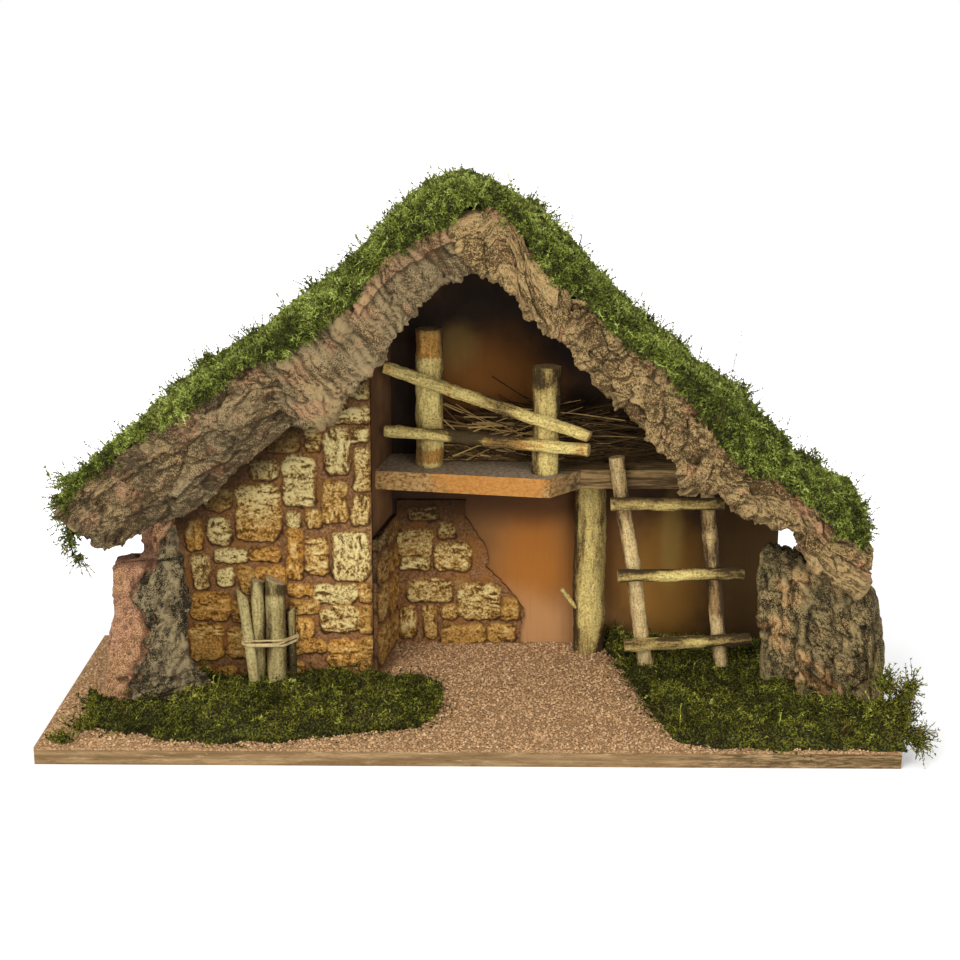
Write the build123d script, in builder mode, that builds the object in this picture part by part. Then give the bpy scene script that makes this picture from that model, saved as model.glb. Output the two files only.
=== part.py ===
from build123d import *

import os
from math import cos, hypot, radians, sin, tan

# A wooden nativity stable, in millimetres. The origin is the middle of the base's underside,
# +X runs to the right seen from the open front, +Y to the back wall and +Z up.

# Base board and the granulated cork glued on it
base_width = 500.0
base_depth = 180.0
base_thickness = 9.0
ground_thickness = 1.5

# Walls
house_left_inset = 64.0  # left edge of the base to the left room's outer face
house_right_inset = 45.0  # right edge of the base to the right end of the back wall
wall_thickness = 6.0
back_wall_inset = 2.0  # rear edge of the base to the back wall
room_width = 124.5  # the walled-in room at the left, across its front
room_depth = 60.5  # stone wall's front to the back wall's front
stone_wall_thickness = 8.0
partition_slant = 9.5  # how far the partition's rear end lies to the right of its front end
stone_relief = 1.5
stone_corner = 2.6
mortar_margin = 0.8  # bare board between the outermost stones and the board's edges

# Stone facing glued on the back wall and on the partition
facing_thickness = 3.0
back_facing_height = 103.0
back_facing_gap = 33.0  # its foot to the support post
back_facing_head = 0.56  # its width at the top, as a share of its foot's
partition_facing_height = 92.0

# Roof panels
ridge_x = -6.0
eave_height = 112.5  # top of the right panel at its eave
left_eave_inset = 14.7  # left edge of the base to the left eave
right_eave_inset = 9.3
left_pitch = 38.5
right_pitch = 40.0
roof_thickness = 6.0
roof_depth = 120.0  # rear edge of the base to the front edge of the panels

# Bark fascia nailed on the front edges of the roof panels
bark_thickness = 13.0
bark_depth = 52.0  # how far the deepest bark hangs below the panels' top, square to the slope
bark_seam = 0.3
ridge_bark_reach = 26.0  # how far the ridge piece goes down the left slope
ridge_bark_length = 95.0  # how far it goes down the right slope
left_bark_split = 148.0  # down the slope to the seam between the left pieces
right_bark_split = 212.0  # down the slope to the seam between the two lower right pieces
bark_edge = 2.5  # bevel round the front of each bark piece

# Moss
roof_moss_left = 12.0
roof_moss_right = 9.5
roof_moss_crown = 30.0  # radius over the ridge
roof_moss_lip = 3.0  # how far it hangs past the eaves
ground_moss_height = 8.0
left_moss_reach = 44.0  # how far the left patch reaches past the partition
moss_inset = 3.0  # front edge of the base to the patches

# Loft
loft_height = 130.0  # underside of the board
loft_thickness = 12.0
loft_depth_left = 44.0  # back wall to the front edge, at the partition
loft_depth_right = 63.0  # back wall to the front edge, at the jigsawn step
loft_depth_narrow = 40.0  # back wall to the front edge, right of the step
loft_step_run = 21.0
loft_headroom = 34.0  # left under the roof at the board's right end
loft_post_diameter = 17.5
left_post_height = 88.0
left_post_setback = 21.5  # front edge of the loft to the post's axis
right_post_height = 68.0
right_post_setback = 16.5
rail_diameter = 7.0
upper_rail_left = 56.5  # axis above the loft, at the left post
upper_rail_right = 35.5
lower_rail_left = 23.0
lower_rail_right = 20.5
rail_left_end = 28.0  # how far the rails reach past the posts' axes
rail_right_end = 26.0
brushwood_height = 30.0
brushwood_depth = 22.0

# Places along the loft, as shares of its length from the partition
left_post_share = 0.125
right_post_share = 0.477
loft_step_share = 0.487
support_post_share = 0.63
left_stile_share = 0.7
right_stile_share = 0.964

# Support post under the loft
support_post_diameter = 21.0
support_post_gap = 1.5  # to the back wall

# Ladder
stile_diameter = 9.5
left_stile_slant = 21.0  # how far its foot stands to the right of its head
left_stile_rise = 10.0  # how far the left stile stands above the loft
right_stile_slant = 15.0
right_stile_drop = 6.0  # how far the right stile stops below the loft's top
ladder_lean = 7.0
rung_diameter = 8.0
# Each rung: heights above the ground at the left and the right stile, then its reach past each of them
rungs = {
    "bottom": (21.5, 24.5, 12.0, 19.0),
    "middle": (67.0, 68.5, 10.0, 18.0),
    "top": (113.5, 114.0, 8.0, 9.0),
}

# Bark stumps
stump_thickness = 16.0
stump_eave_gap = 2.0  # stump tops to the bark above them
right_stump_length = 77.0
right_stump_turn = 26.0  # degrees from the front edge of the base
right_stump_setback = 8.0  # front of the bark to the middle of the stump's right end
left_stump_edge = 28.0  # left edge of the base to the stump
left_stump_width = 46.0
left_stump_setback = 13.0  # front of the bark to the front of the stump
left_stump_step = 26.0  # how far the lower half lies below the taller one

# Bundle of sticks, leaning on the stone wall
# Each stick: distance right of the bundle's middle at its foot and at its head, lean, diameter, height
bundle_place = 63.5  # partition to the bundle's middle
bundle_sticks = {
    "thick": (3.5, 3.0, 7.0, 12.5, 67.0),
    "middle": (-8.2, -8.2, 7.0, 8.5, 66.0),
    "split": (-8.5, -18.5, 22.0, 6.5, 57.0),
    "pale": (12.8, 12.2, 4.0, 5.5, 46.0),
}
tie_height = 27.0
tie_width = 3.0
tie_thickness = 1.2

# Nails and pins
nail_diameter = 1.4
nail_head_diameter = 3.0
nail_head_thickness = 0.8
nail_length = 22.0
pin_diameter = 1.2
pin_depth = 0.6  # how far a pin's end is sunk
nail_clearance = 0.05
contact_gap = 0.15  # between round pieces that are pinned or leaned together

# Places worked out from the sizes above
base_front = -base_depth / 2
base_rear = base_depth / 2
base_right = base_width / 2
base_left = -base_width / 2
ground = base_thickness + ground_thickness
back_wall_rear = base_rear - back_wall_inset
back_wall_front = back_wall_rear - wall_thickness
stone_wall_front = back_wall_front - room_depth
stone_wall_rear = stone_wall_front + stone_wall_thickness
stone_face = stone_wall_front - stone_relief
house_left = base_left + house_left_inset
house_right = base_right - house_right_inset
partition_x = house_left + room_width
partition_rear_x = partition_x + partition_slant
roof_front = base_rear - roof_depth
bark_front = roof_front - bark_thickness
pitches = {-1: left_pitch, 1: right_pitch}
left_slope = (ridge_x - base_left - left_eave_inset) / cos(radians(left_pitch))
right_slope = (base_right - right_eave_inset - ridge_x) / cos(radians(right_pitch))
ridge_height = eave_height + right_slope * sin(radians(right_pitch))
ridge_undersides = {side: ridge_height - roof_thickness / cos(radians(pitches[side])) for side in pitches}
loft_top = loft_height + loft_thickness
loft_narrow_front = back_wall_front - loft_depth_narrow
loft_right = ridge_x + (ridge_undersides[1] - loft_top - loft_headroom) / tan(radians(right_pitch))
loft_span = loft_right - partition_rear_x
left_post_x = partition_rear_x + left_post_share * loft_span
right_post_x = partition_rear_x + right_post_share * loft_span
loft_step_x = partition_rear_x + loft_step_share * loft_span
support_post_x = partition_rear_x + support_post_share * loft_span
support_post_y = back_wall_front - support_post_gap - support_post_diameter / 2
left_head_x = partition_rear_x + left_stile_share * loft_span
right_head_x = partition_rear_x + right_stile_share * loft_span
bundle_x = partition_x - bundle_place
slopes = {-1: left_slope, 1: right_slope}
moss_depths = {-1: roof_moss_left, 1: roof_moss_right}
side_names = {-1: "left", 1: "right"}


def slope_point(side, along, depth):
    """X and Z of a point down a roof slope (-1 left, 1 right) and a depth below the panel's top."""
    pitch = radians(pitches[side])
    x = ridge_x + side * (along * cos(pitch) - depth * sin(pitch))
    return x, ridge_height - along * sin(pitch) - depth * cos(pitch)


def roof_side(x):
    """The slope that lies over a place."""
    return -1 if x < ridge_x else 1


def roof_line(x, depth):
    """Height of the roof at x, a depth square to the slope below the panels' top."""
    pitch = radians(pitches[roof_side(x)])
    return ridge_height - depth / cos(pitch) - abs(x - ridge_x) * tan(pitch)


def underside(x):
    return roof_line(x, roof_thickness)


def upright(y):
    """A sketch plane facing the front, X to the right and Z up."""
    return Plane.XZ.offset(-y)


def partition_face(y):
    """X of the partition's right face at a depth."""
    share = (y - stone_wall_rear) / (back_wall_front - stone_wall_rear)
    return partition_x + partition_slant * share


def loft_front(x):
    """Y of the loft's front edge, left of the step."""
    share = (x - partition_x) / (loft_step_x - partition_x)
    return back_wall_front - loft_depth_left - (loft_depth_right - loft_depth_left) * share


def log_plane(start, end):
    return Plane(origin=start, z_dir=Vector(*end) - Vector(*start))


def log_length(start, end):
    return (Vector(*end) - Vector(*start)).length


def cut_nail_holes(planes):
    """Counterbored holes along the planes' normals, for nails whose heads lie flush."""
    with Locations(*planes):
        CounterBoreHole(
            radius=nail_diameter / 2 + nail_clearance,
            counter_bore_radius=nail_head_diameter / 2 + nail_clearance,
            counter_bore_depth=nail_head_thickness,
            depth=nail_length + nail_clearance,
        )


def cut_pin_holes(planes, length):
    with Locations(*planes):
        Hole(radius=pin_diameter / 2 + nail_clearance, depth=length + pin_depth + nail_clearance)


def finish(builder, name):
    builder.part.label = name
    export_step(builder.part, "parts/" + name + ".step")


def make_nails(planes, name):
    """One group of nails, each driven against its plane's normal."""
    with BuildPart() as nails:
        for plane in planes:
            with BuildSketch(plane):
                Circle(nail_head_diameter / 2)
            extrude(amount=-nail_head_thickness)
            with BuildSketch(plane.offset(-nail_head_thickness)):
                Circle(nail_diameter / 2)
            extrude(amount=nail_head_thickness - nail_length)
    finish(nails, name)


def make_pins(planes, length, name):
    """One group of headless pins, sunk below the surface they were driven through."""
    with BuildPart() as pins:
        for plane in planes:
            with BuildSketch(plane.offset(-pin_depth)):
                Circle(pin_diameter / 2)
            extrude(amount=-length)
    finish(pins, name)


os.makedirs("parts", exist_ok=True)

# Where the nails go: each plane lies on the outer face, with its normal pointing out
base_nail_planes = [
    Plane(origin=(x, y, 0), z_dir=(0, 0, -1))
    for x, y in (
        (0.6 * house_left, back_wall_rear - wall_thickness / 2),
        (0.15 * house_left, back_wall_rear - wall_thickness / 2),
        (0.35 * house_right, back_wall_rear - wall_thickness / 2),
        (0.8 * house_right, back_wall_rear - wall_thickness / 2),
        (partition_x - 0.15 * room_width, stone_wall_front + stone_wall_thickness / 2),
        (partition_x - 0.85 * room_width, stone_wall_front + stone_wall_thickness / 2),
    )
]
base_nail_planes.append(Plane(origin=(support_post_x, support_post_y, 0), z_dir=(0, 0, -1)))
loft_nail_planes = [
    Plane(origin=(partition_rear_x + share * loft_span, back_wall_rear, loft_height + loft_thickness / 2),
          z_dir=(0, 1, 0))
    for share in (0.12, 0.5, 0.88)
]
left_post_y = loft_front(left_post_x) + left_post_setback
right_post_y = loft_front(right_post_x) + right_post_setback
post_nail_planes = [
    Plane(origin=(left_post_x, left_post_y, loft_height), z_dir=(0, 0, -1)),
    Plane(origin=(right_post_x, right_post_y, loft_height), z_dir=(0, 0, -1)),
    Plane(origin=(support_post_x, support_post_y, loft_top), z_dir=(0, 0, 1)),
]


def roof_nail_plane(x, y):
    """A nail square to the slope over x, aimed at a wall under it."""
    side = roof_side(x)
    pitch = radians(pitches[side])
    return Plane(origin=(x, y, roof_line(x, 0)), z_dir=(side * sin(pitch), 0, cos(pitch)))


roof_nail_planes = {
    side: [roof_nail_plane(ridge_x + side * share * reach, back_wall_rear - wall_thickness / 2)
           for share in (0.18, 0.8)]
    for side, reach in ((-1, ridge_x - house_left), (1, house_right - ridge_x))
}
roof_nail_planes[-1].append(
    roof_nail_plane(partition_x - 0.5 * room_width, stone_wall_front + stone_wall_thickness / 2)
)

# Base board
with BuildPart() as base_board:
    Box(base_width, base_depth, base_thickness, align=(Align.CENTER, Align.CENTER, Align.MIN))
    cut_nail_holes(base_nail_planes)
finish(base_board, "base_board")

# Back wall, a gable under both slopes
with BuildPart() as back_wall:
    with BuildSketch(upright(back_wall_rear)):
        with BuildLine():
            Polyline(
                (house_left, base_thickness),
                (house_right, base_thickness),
                (house_right, underside(house_right)),
                (ridge_x, ridge_undersides[1]),
                (ridge_x, ridge_undersides[-1]),
                (house_left, underside(house_left)),
                close=True,
            )
        make_face()
    extrude(amount=wall_thickness)
    cut_nail_holes(base_nail_planes + loft_nail_planes + roof_nail_planes[-1] + roof_nail_planes[1])
finish(back_wall, "back_wall")

# Stone wall. Each stone: middle left of the wall's right end, middle above the base, width, height
wall_stones = (
    (6.5, 189, 11, 11), (17.5, 173, 33, 9), (6.5, 160, 10, 8), (20.5, 150, 15, 29), (35.5, 158, 8, 15),
    (54.5, 157, 20, 14), (5.5, 139, 9, 28), (44.5, 131, 20, 32), (66.5, 138, 17, 12), (22.5, 117, 15, 27),
    (6.5, 112, 11, 20), (70.5, 110, 27, 36), (95.5, 120, 17, 17), (111.5, 96, 9, 20), (95.5, 98, 13, 18),
    (48.5, 106, 8, 10), (48.5, 83, 9, 33), (36.5, 106, 8, 12), (13, 82, 23, 32), (34.5, 82, 14, 25),
    (88.5, 82, 20, 8), (67.5, 83, 19, 8), (108.5, 71, 10, 22), (92.5, 68, 10, 11), (79.5, 66, 9, 18),
    (63.5, 68, 18, 13), (45.5, 59, 16, 8), (23.5, 57, 27, 12), (4.5, 57, 7, 12), (103.5, 48, 24, 18),
    (43.5, 48, 19, 9), (20.5, 40, 25, 17), (4.8, 40, 7.5, 18), (45.5, 34, 15, 13), (106.5, 24, 20, 25),
    (40.5, 21, 22, 9), (80, 45, 16, 15), (62, 48, 12, 20), (84, 24, 18, 20), (65, 24, 14, 20),
    (19, 17, 20, 18), (4.8, 16, 7.5, 22), (60, 6, 30, 9), (100, 4, 24, 7),
)


def wall_outline(left, right, margin):
    """The stone wall's front, under the left slope, with a margin taken off all round."""
    rim = roof_thickness + margin
    Polyline(
        (left + margin, base_thickness + margin),
        (right - margin, base_thickness + margin),
        (right - margin, roof_line(right - margin, rim)),
        (left + margin, roof_line(left + margin, rim)),
        close=True,
    )


with BuildPart() as stone_wall:
    with BuildSketch(upright(stone_wall_rear)):
        with BuildLine():
            wall_outline(house_left, partition_x, 0)
        make_face()
    extrude(amount=stone_wall_thickness)
    with BuildSketch(upright(stone_wall_front)):
        for left_of_end, height, width, tall in wall_stones:
            with Locations((partition_x - left_of_end, base_thickness + height)):
                RectangleRounded(width, tall, stone_corner)
        with BuildLine():
            wall_outline(house_left, partition_x, mortar_margin)
        make_face(mode=Mode.INTERSECT)
    extrude(amount=stone_relief)
    cut_nail_holes(base_nail_planes + roof_nail_planes[-1])
finish(stone_wall, "stone_wall")

# Partition between the room and the open stable, cut off along the left slope
left_underside = Plane(
    origin=(ridge_x, 0, ridge_undersides[-1]),
    z_dir=(-sin(radians(left_pitch)), 0, cos(radians(left_pitch))),
)
with BuildPart() as partition_wall:
    with BuildSketch(Plane.XY.offset(base_thickness)):
        with BuildLine():
            Polyline(
                (partition_x, stone_wall_rear),
                (partition_x - wall_thickness, stone_wall_rear),
                (partition_rear_x - wall_thickness, back_wall_front),
                (partition_rear_x, back_wall_front),
                close=True,
            )
        make_face()
    extrude(amount=ridge_height)
    split(bisect_by=left_underside, keep=Keep.BOTTOM)
finish(partition_wall, "partition_wall")

# Side wall that closes the room at the left
with BuildPart() as left_side_wall:
    with BuildSketch(upright(back_wall_front)):
        with BuildLine():
            wall_outline(house_left, house_left + wall_thickness, 0)
        make_face()
    extrude(amount=back_wall_front - stone_wall_rear)
finish(left_side_wall, "left_side_wall")

# Stone facing on the partition, from the stone wall's front to the facing on the back wall
with BuildPart() as partition_stone_facing:
    with BuildSketch(Plane.XY.offset(base_thickness)):
        with BuildLine():
            Polyline(
                (partition_x, stone_wall_front),
                (partition_x + facing_thickness, stone_wall_front),
                (partition_x + facing_thickness, stone_wall_rear),
                (partition_rear_x + facing_thickness, back_wall_front),
                (partition_rear_x, back_wall_front),
                (partition_x, stone_wall_rear),
                close=True,
            )
        make_face()
    extrude(amount=partition_facing_height)
finish(partition_stone_facing, "partition_stone_facing")

# Stone facing on the back wall, broken off along a slanting right edge. Each stone: middle right of
# its left edge, middle above the base, width, height
facing_stones = (
    (17, 93, 20, 9), (12, 73, 24, 18), (33, 81, 11, 11), (37, 63, 24, 19), (12, 58, 19, 8),
    (22, 39, 30, 16), (55, 32, 28, 25), (35, 24, 9, 10), (7, 17, 10, 23), (22, 17, 9, 24),
    (44, 8, 30, 13), (76, 26, 11, 16), (70, 9, 18, 12),
)
facing_left = partition_rear_x + facing_thickness


def facing_outline(margin):
    """Left edge, top and the broken right edge, with a margin taken off all round."""
    left = facing_left + margin
    foot = support_post_x - support_post_diameter / 2 - back_facing_gap - margin
    head = left + back_facing_head * (foot - left)
    low = base_thickness + margin
    high = base_thickness + back_facing_height - margin
    waist = low + 0.55 * (high - low)
    Polyline(
        (left, low),
        (foot, low),
        (foot, low + 0.25 * (high - low)),
        (head + 0.3 * (foot - head), waist),
        (head, low + 0.88 * (high - low)),
        (head - margin, high),
        (left, high),
        close=True,
    )


with BuildPart() as back_stone_facing:
    with BuildSketch(upright(back_wall_front)):
        with BuildLine():
            facing_outline(0)
        make_face()
    extrude(amount=facing_thickness)
    with BuildSketch(upright(back_wall_front - facing_thickness)):
        for right_of_edge, height, width, tall in facing_stones:
            with Locations((facing_left + right_of_edge, base_thickness + height)):
                RectangleRounded(width, tall, stone_corner)
        with BuildLine():
            facing_outline(mortar_margin)
        make_face(mode=Mode.INTERSECT)
    extrude(amount=stone_relief)
finish(back_stone_facing, "back_stone_facing")

# Roof panels, mitred at the ridge
fascia_brad_planes = {}
for side in (-1, 1):
    ridge_low = ridge_undersides[side]
    brad_line = roof_thickness / 2
    fascia_brad_planes[side] = [
        Plane(origin=(slope_point(side, share * slopes[side], brad_line)[0], bark_front,
                      slope_point(side, share * slopes[side], brad_line)[1]), z_dir=(0, -1, 0))
        for share in (0.14, 0.36, 0.58, 0.78, 0.94)
    ]
    with BuildPart() as roof_panel:
        with BuildSketch(upright(base_rear)):
            with BuildLine():
                Polyline(
                    (ridge_x, ridge_height),
                    (ridge_x, ridge_low),
                    slope_point(side, slopes[side], roof_thickness),
                    slope_point(side, slopes[side], 0),
                    close=True,
                )
            make_face()
        extrude(amount=base_rear - roof_front)
        cut_nail_holes(roof_nail_planes[side] + fascia_brad_planes[side])
    finish(roof_panel, "roof_panel_" + side_names[side])


# Bark fascia. Each lower edge: share of the piece's length and share of the bark's depth
def bark_outline(side, lower_edge, start, end):
    """The panels' top line between two places down the slope, closed by an uneven lower edge."""
    length = end - start
    Polyline(
        slope_point(side, start, 0),
        *[slope_point(side, start + along * length, depth * bark_depth) for along, depth in lower_edge],
        slope_point(side, end, 0),
        close=True,
    )


def bevel_front(builder):
    """The worn front edge, along the lower side of a bark piece and at its ends."""
    front = builder.faces().sort_by(Axis.Y)[0]
    chamfer(front.edges(), length=bark_edge)


bark_pieces = {
    "bark_left_upper": (-1, ridge_bark_reach + bark_seam, left_bark_split - bark_seam, (
        (0, 0.69), (0.25, 0.67), (0.38, 0.75), (0.57, 0.9), (0.87, 1), (1, 0.85))),
    "bark_left_lower": (-1, left_bark_split, left_slope, (
        (0, 0.85), (0.19, 0.87), (0.6, 0.83), (0.75, 0.73), (0.92, 0.69), (1, 0.42))),
    "bark_right_middle": (1, ridge_bark_length + bark_seam, right_bark_split - bark_seam, (
        (0, 0.42), (0.23, 0.58), (0.45, 0.58), (0.69, 0.67), (1, 0.75))),
    "bark_right_lower": (1, right_bark_split, right_slope, (
        (0, 0.64), (0.26, 0.58), (0.49, 0.48), (0.59, 0.38), (0.66, 0.51), (0.86, 0.5), (1, 0.36))),
}
for name, (side, start, end, lower_edge) in bark_pieces.items():
    with BuildPart() as bark:
        with BuildSketch(upright(roof_front)):
            with BuildLine():
                bark_outline(side, lower_edge, start, end)
            make_face()
        extrude(amount=bark_thickness)
        bevel_front(bark)
        cut_nail_holes(fascia_brad_planes[side])
    finish(bark, name)

# The bark piece over the ridge, from the left slope's upper seam to the right slope's
with BuildPart() as bark_ridge:
    with BuildSketch(upright(roof_front)):
        with BuildLine():
            Polyline(
                slope_point(-1, ridge_bark_reach, 0),
                slope_point(-1, ridge_bark_reach, 0.69 * bark_depth),
                slope_point(1, 0.35 * ridge_bark_length, 0.5 * bark_depth),
                slope_point(1, 0.64 * ridge_bark_length, 0.38 * bark_depth),
                slope_point(1, ridge_bark_length, 0.38 * bark_depth),
                slope_point(1, ridge_bark_length, 0),
                (ridge_x, ridge_height),
                close=True,
            )
        make_face()
    extrude(amount=bark_thickness)
    bevel_front(bark_ridge)
    cut_nail_holes(fascia_brad_planes[-1] + fascia_brad_planes[1])
finish(bark_ridge, "bark_ridge")

# Roof moss, rounded over the ridge and over the eaves
for side in (-1, 1):
    pitch = radians(pitches[side])
    depth = moss_depths[side]
    crown_apex = ridge_height + depth / cos(pitch)
    crown_middle = crown_apex - roof_moss_crown / cos(pitch)
    crown_arc = [
        (ridge_x + side * roof_moss_crown * sin(share * pitch),
         crown_middle + roof_moss_crown * cos(share * pitch))
        for share in (0, 0.5, 1)
    ]
    with BuildPart() as roof_moss:
        with BuildSketch(upright(base_rear)):
            with BuildLine():
                Line((ridge_x, ridge_height), crown_arc[0])
                ThreePointArc(*crown_arc)
                Line(crown_arc[2], slope_point(side, slopes[side] - depth, -depth))
                ThreePointArc(
                    slope_point(side, slopes[side] - depth, -depth),
                    slope_point(side, slopes[side] + 0.5 * roof_moss_lip, -0.6 * depth),
                    slope_point(side, slopes[side] + roof_moss_lip, 0),
                )
                Line(slope_point(side, slopes[side] + roof_moss_lip, 0), (ridge_x, ridge_height))
            make_face()
        extrude(amount=base_rear - bark_front)
    finish(roof_moss, "roof_moss_" + side_names[side])

# Loft board with its jigsawn step
with BuildPart() as loft_board:
    with BuildSketch(Plane.XY.offset(loft_height)):
        with BuildLine():
            Polyline(
                (partition_face(loft_front(partition_x)), loft_front(partition_x)),
                (loft_step_x, loft_front(loft_step_x)),
                (loft_step_x + loft_step_run, loft_narrow_front),
                (loft_right, loft_narrow_front),
                (loft_right, back_wall_front),
                (partition_rear_x, back_wall_front),
                close=True,
            )
        make_face()
    extrude(amount=loft_thickness)
    cut_nail_holes(loft_nail_planes + post_nail_planes)
finish(loft_board, "loft_board")

# Loft posts and the rails pinned on their fronts
rail_skew = hypot(right_post_x - left_post_x, right_post_y - left_post_y) / (right_post_x - left_post_x)
rail_reach = rail_skew * (loft_post_diameter / 2 + contact_gap + rail_diameter / 2)
rail_pin_length = rail_diameter + loft_post_diameter / 2
rail_heights = {"upper": (upper_rail_left, upper_rail_right), "lower": (lower_rail_left, lower_rail_right)}
post_places = {"left": (left_post_x, left_post_y, left_post_height),
               "right": (right_post_x, right_post_y, right_post_height)}
rail_pin_planes = [
    Plane(origin=(x, y - rail_reach - rail_diameter / 2, loft_top + heights[number]), z_dir=(0, -1, 0))
    for heights in rail_heights.values()
    for number, (x, y, tall) in enumerate(post_places.values())
]
for name, (x, y, tall) in post_places.items():
    with BuildPart() as loft_post:
        with BuildSketch(Plane.XY.offset(loft_top)):
            with Locations((x, y)):
                Circle(loft_post_diameter / 2)
        extrude(amount=tall)
        cut_nail_holes(post_nail_planes)
        cut_pin_holes(rail_pin_planes, rail_pin_length)
    finish(loft_post, "loft_post_" + name)


def rail_point(heights, x):
    """A point on a rail's axis, on the line through its two seats on the posts."""
    share = (x - left_post_x) / (right_post_x - left_post_x)
    y = left_post_y + share * (right_post_y - left_post_y) - rail_reach
    return x, y, loft_top + heights[0] + share * (heights[1] - heights[0])


for name, heights in rail_heights.items():
    start = rail_point(heights, left_post_x - rail_left_end)
    end = rail_point(heights, right_post_x + rail_right_end)
    with BuildPart() as rail:
        with BuildSketch(log_plane(start, end)):
            Circle(rail_diameter / 2)
        extrude(amount=log_length(start, end))
        cut_pin_holes(rail_pin_planes, rail_pin_length)
    finish(rail, "rail_" + name)

# Support post under the loft
with BuildPart() as support_post:
    with BuildSketch(Plane.XY.offset(base_thickness)):
        with Locations((support_post_x, support_post_y)):
            Circle(support_post_diameter / 2)
    extrude(amount=loft_height - base_thickness)
    cut_nail_holes(base_nail_planes + post_nail_planes)
finish(support_post, "support_post")

# Brushwood heaped on the loft, behind the posts
brushwood_left = left_post_x + loft_post_diameter / 2 + contact_gap
brushwood_right = loft_right - stile_diameter
brushwood_middle = 0.5 * (brushwood_left + brushwood_right)
with BuildPart() as brushwood:
    with BuildSketch(upright(back_wall_front)):
        with BuildLine():
            Polyline(
                (brushwood_left, loft_top),
                (brushwood_right, loft_top),
                (brushwood_right, loft_top + 0.35 * brushwood_height),
                (brushwood_middle, loft_top + brushwood_height),
                (brushwood_left, loft_top + 0.5 * brushwood_height),
                close=True,
            )
        make_face()
    extrude(amount=brushwood_depth)
finish(brushwood, "brushwood")

# Ladder: two stiles leaning on the loft's narrow edge, three rungs pinned on their fronts
ladder_head_y = loft_narrow_front - stile_diameter / 2 - contact_gap
stile_feet = {"left": left_head_x + left_stile_slant, "right": right_head_x + right_stile_slant}
stile_heads = {"left": left_head_x, "right": right_head_x}
stile_tops = {"left": loft_top + left_stile_rise, "right": loft_top - right_stile_drop}
stile_names = ("left", "right")
rung_reach = stile_diameter / 2 + contact_gap + rung_diameter / 2
rung_pin_length = rung_diameter + stile_diameter / 2


def stile_point(name, z):
    """A point on a stile's axis. Its head is level with the loft's top."""
    share = (z - ground) / (loft_top - ground)
    x = stile_feet[name] + share * (stile_heads[name] - stile_feet[name])
    return x, ladder_head_y - ladder_lean * (1 - share), z


def rung_point(name, height):
    """The point of a rung's axis in front of a stile."""
    x, y, z = stile_point(name, ground + height)
    return Vector(x, y - rung_reach, z)


rung_pin_planes = [
    Plane(origin=rung_point(stile, height) - Vector(0, rung_diameter / 2, 0), z_dir=(0, -1, 0))
    for heights in rungs.values()
    for stile, height in zip(stile_names, heights)
]
ladder_stiles = []
for name in stile_names:
    start = stile_point(name, base_thickness - stile_diameter)
    end = stile_point(name, stile_tops[name])
    with BuildPart() as stile:
        with BuildSketch(log_plane(start, end)):
            Circle(stile_diameter / 2)
        extrude(amount=log_length(start, end))
        split(bisect_by=Plane.XY.offset(ground), keep=Keep.TOP)
        cut_pin_holes(rung_pin_planes, rung_pin_length)
    finish(stile, "ladder_stile_" + name)
    ladder_stiles.append(stile.part)
for name, (left_height, right_height, left_reach, right_reach) in rungs.items():
    left_point = rung_point("left", left_height)
    right_point = rung_point("right", right_height)
    direction = (right_point - left_point).normalized()
    start = left_point - direction * left_reach
    end = right_point + direction * right_reach
    with BuildPart() as rung:
        with BuildSketch(log_plane(start, end)):
            Circle(rung_diameter / 2)
        extrude(amount=log_length(start, end))
        cut_pin_holes(rung_pin_planes, rung_pin_length)
    finish(rung, "ladder_rung_" + name)

# Bark stumps, tucked under the eaves. Their outlines are shares of their lengths and heights
right_stump_plane = Plane(
    origin=(base_right, bark_front + right_stump_setback, base_thickness),
    x_dir=(-cos(radians(right_stump_turn)), sin(radians(right_stump_turn)), 0),
    z_dir=(sin(radians(right_stump_turn)), cos(radians(right_stump_turn)), 0),
)


def right_stump_top(along, depth):
    """A point of the stump's top: along it from its right end, and below the roof's top."""
    x = base_right - along * right_stump_length * cos(radians(right_stump_turn))
    height = roof_line(x, depth * bark_depth) - stump_eave_gap - base_thickness
    return along * right_stump_length, height


right_stump_low = right_stump_top(0.13, 0.4)
right_stump_tall = right_stump_top(1, 0.82)
with BuildPart() as bark_stump_right:
    with BuildSketch(right_stump_plane):
        with BuildLine():
            Polyline(
                (0, 0),
                (right_stump_length, 0),
                (1.05 * right_stump_length, 0.66 * right_stump_tall[1]),
                right_stump_tall,
                right_stump_top(0.73, 0.57),
                right_stump_top(0.47, 0.53),
                right_stump_low,
                (0.03 * right_stump_length, 0.58 * right_stump_low[1]),
                close=True,
            )
        make_face()
    extrude(amount=stump_thickness / 2, both=True)
finish(bark_stump_right, "bark_stump_right")

left_stump_x = base_left + left_stump_edge
left_stump_right = left_stump_x + left_stump_width
left_stump_rear = bark_front + left_stump_setback + stump_thickness
left_stump_height = roof_line(left_stump_right, 0.81 * bark_depth) - stump_eave_gap - base_thickness
left_stump_low = 1 - left_stump_step / left_stump_height
left_stump_outline = (
    (-0.06, 0), (1.35, 0), (1.3, 0.14), (0.98, 0.32), (1.09, 0.59), (1, 0.95), (0.87, 1),
    (0.55, left_stump_low + 0.02), (0.04, left_stump_low),
)
with BuildPart() as bark_stump_left:
    with BuildSketch(upright(left_stump_rear)):
        with BuildLine():
            Polyline(
                *[(left_stump_x + across * left_stump_width, base_thickness + up * left_stump_height)
                  for across, up in left_stump_outline],
                close=True,
            )
        make_face()
    extrude(amount=stump_thickness)
finish(bark_stump_left, "bark_stump_left")

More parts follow.
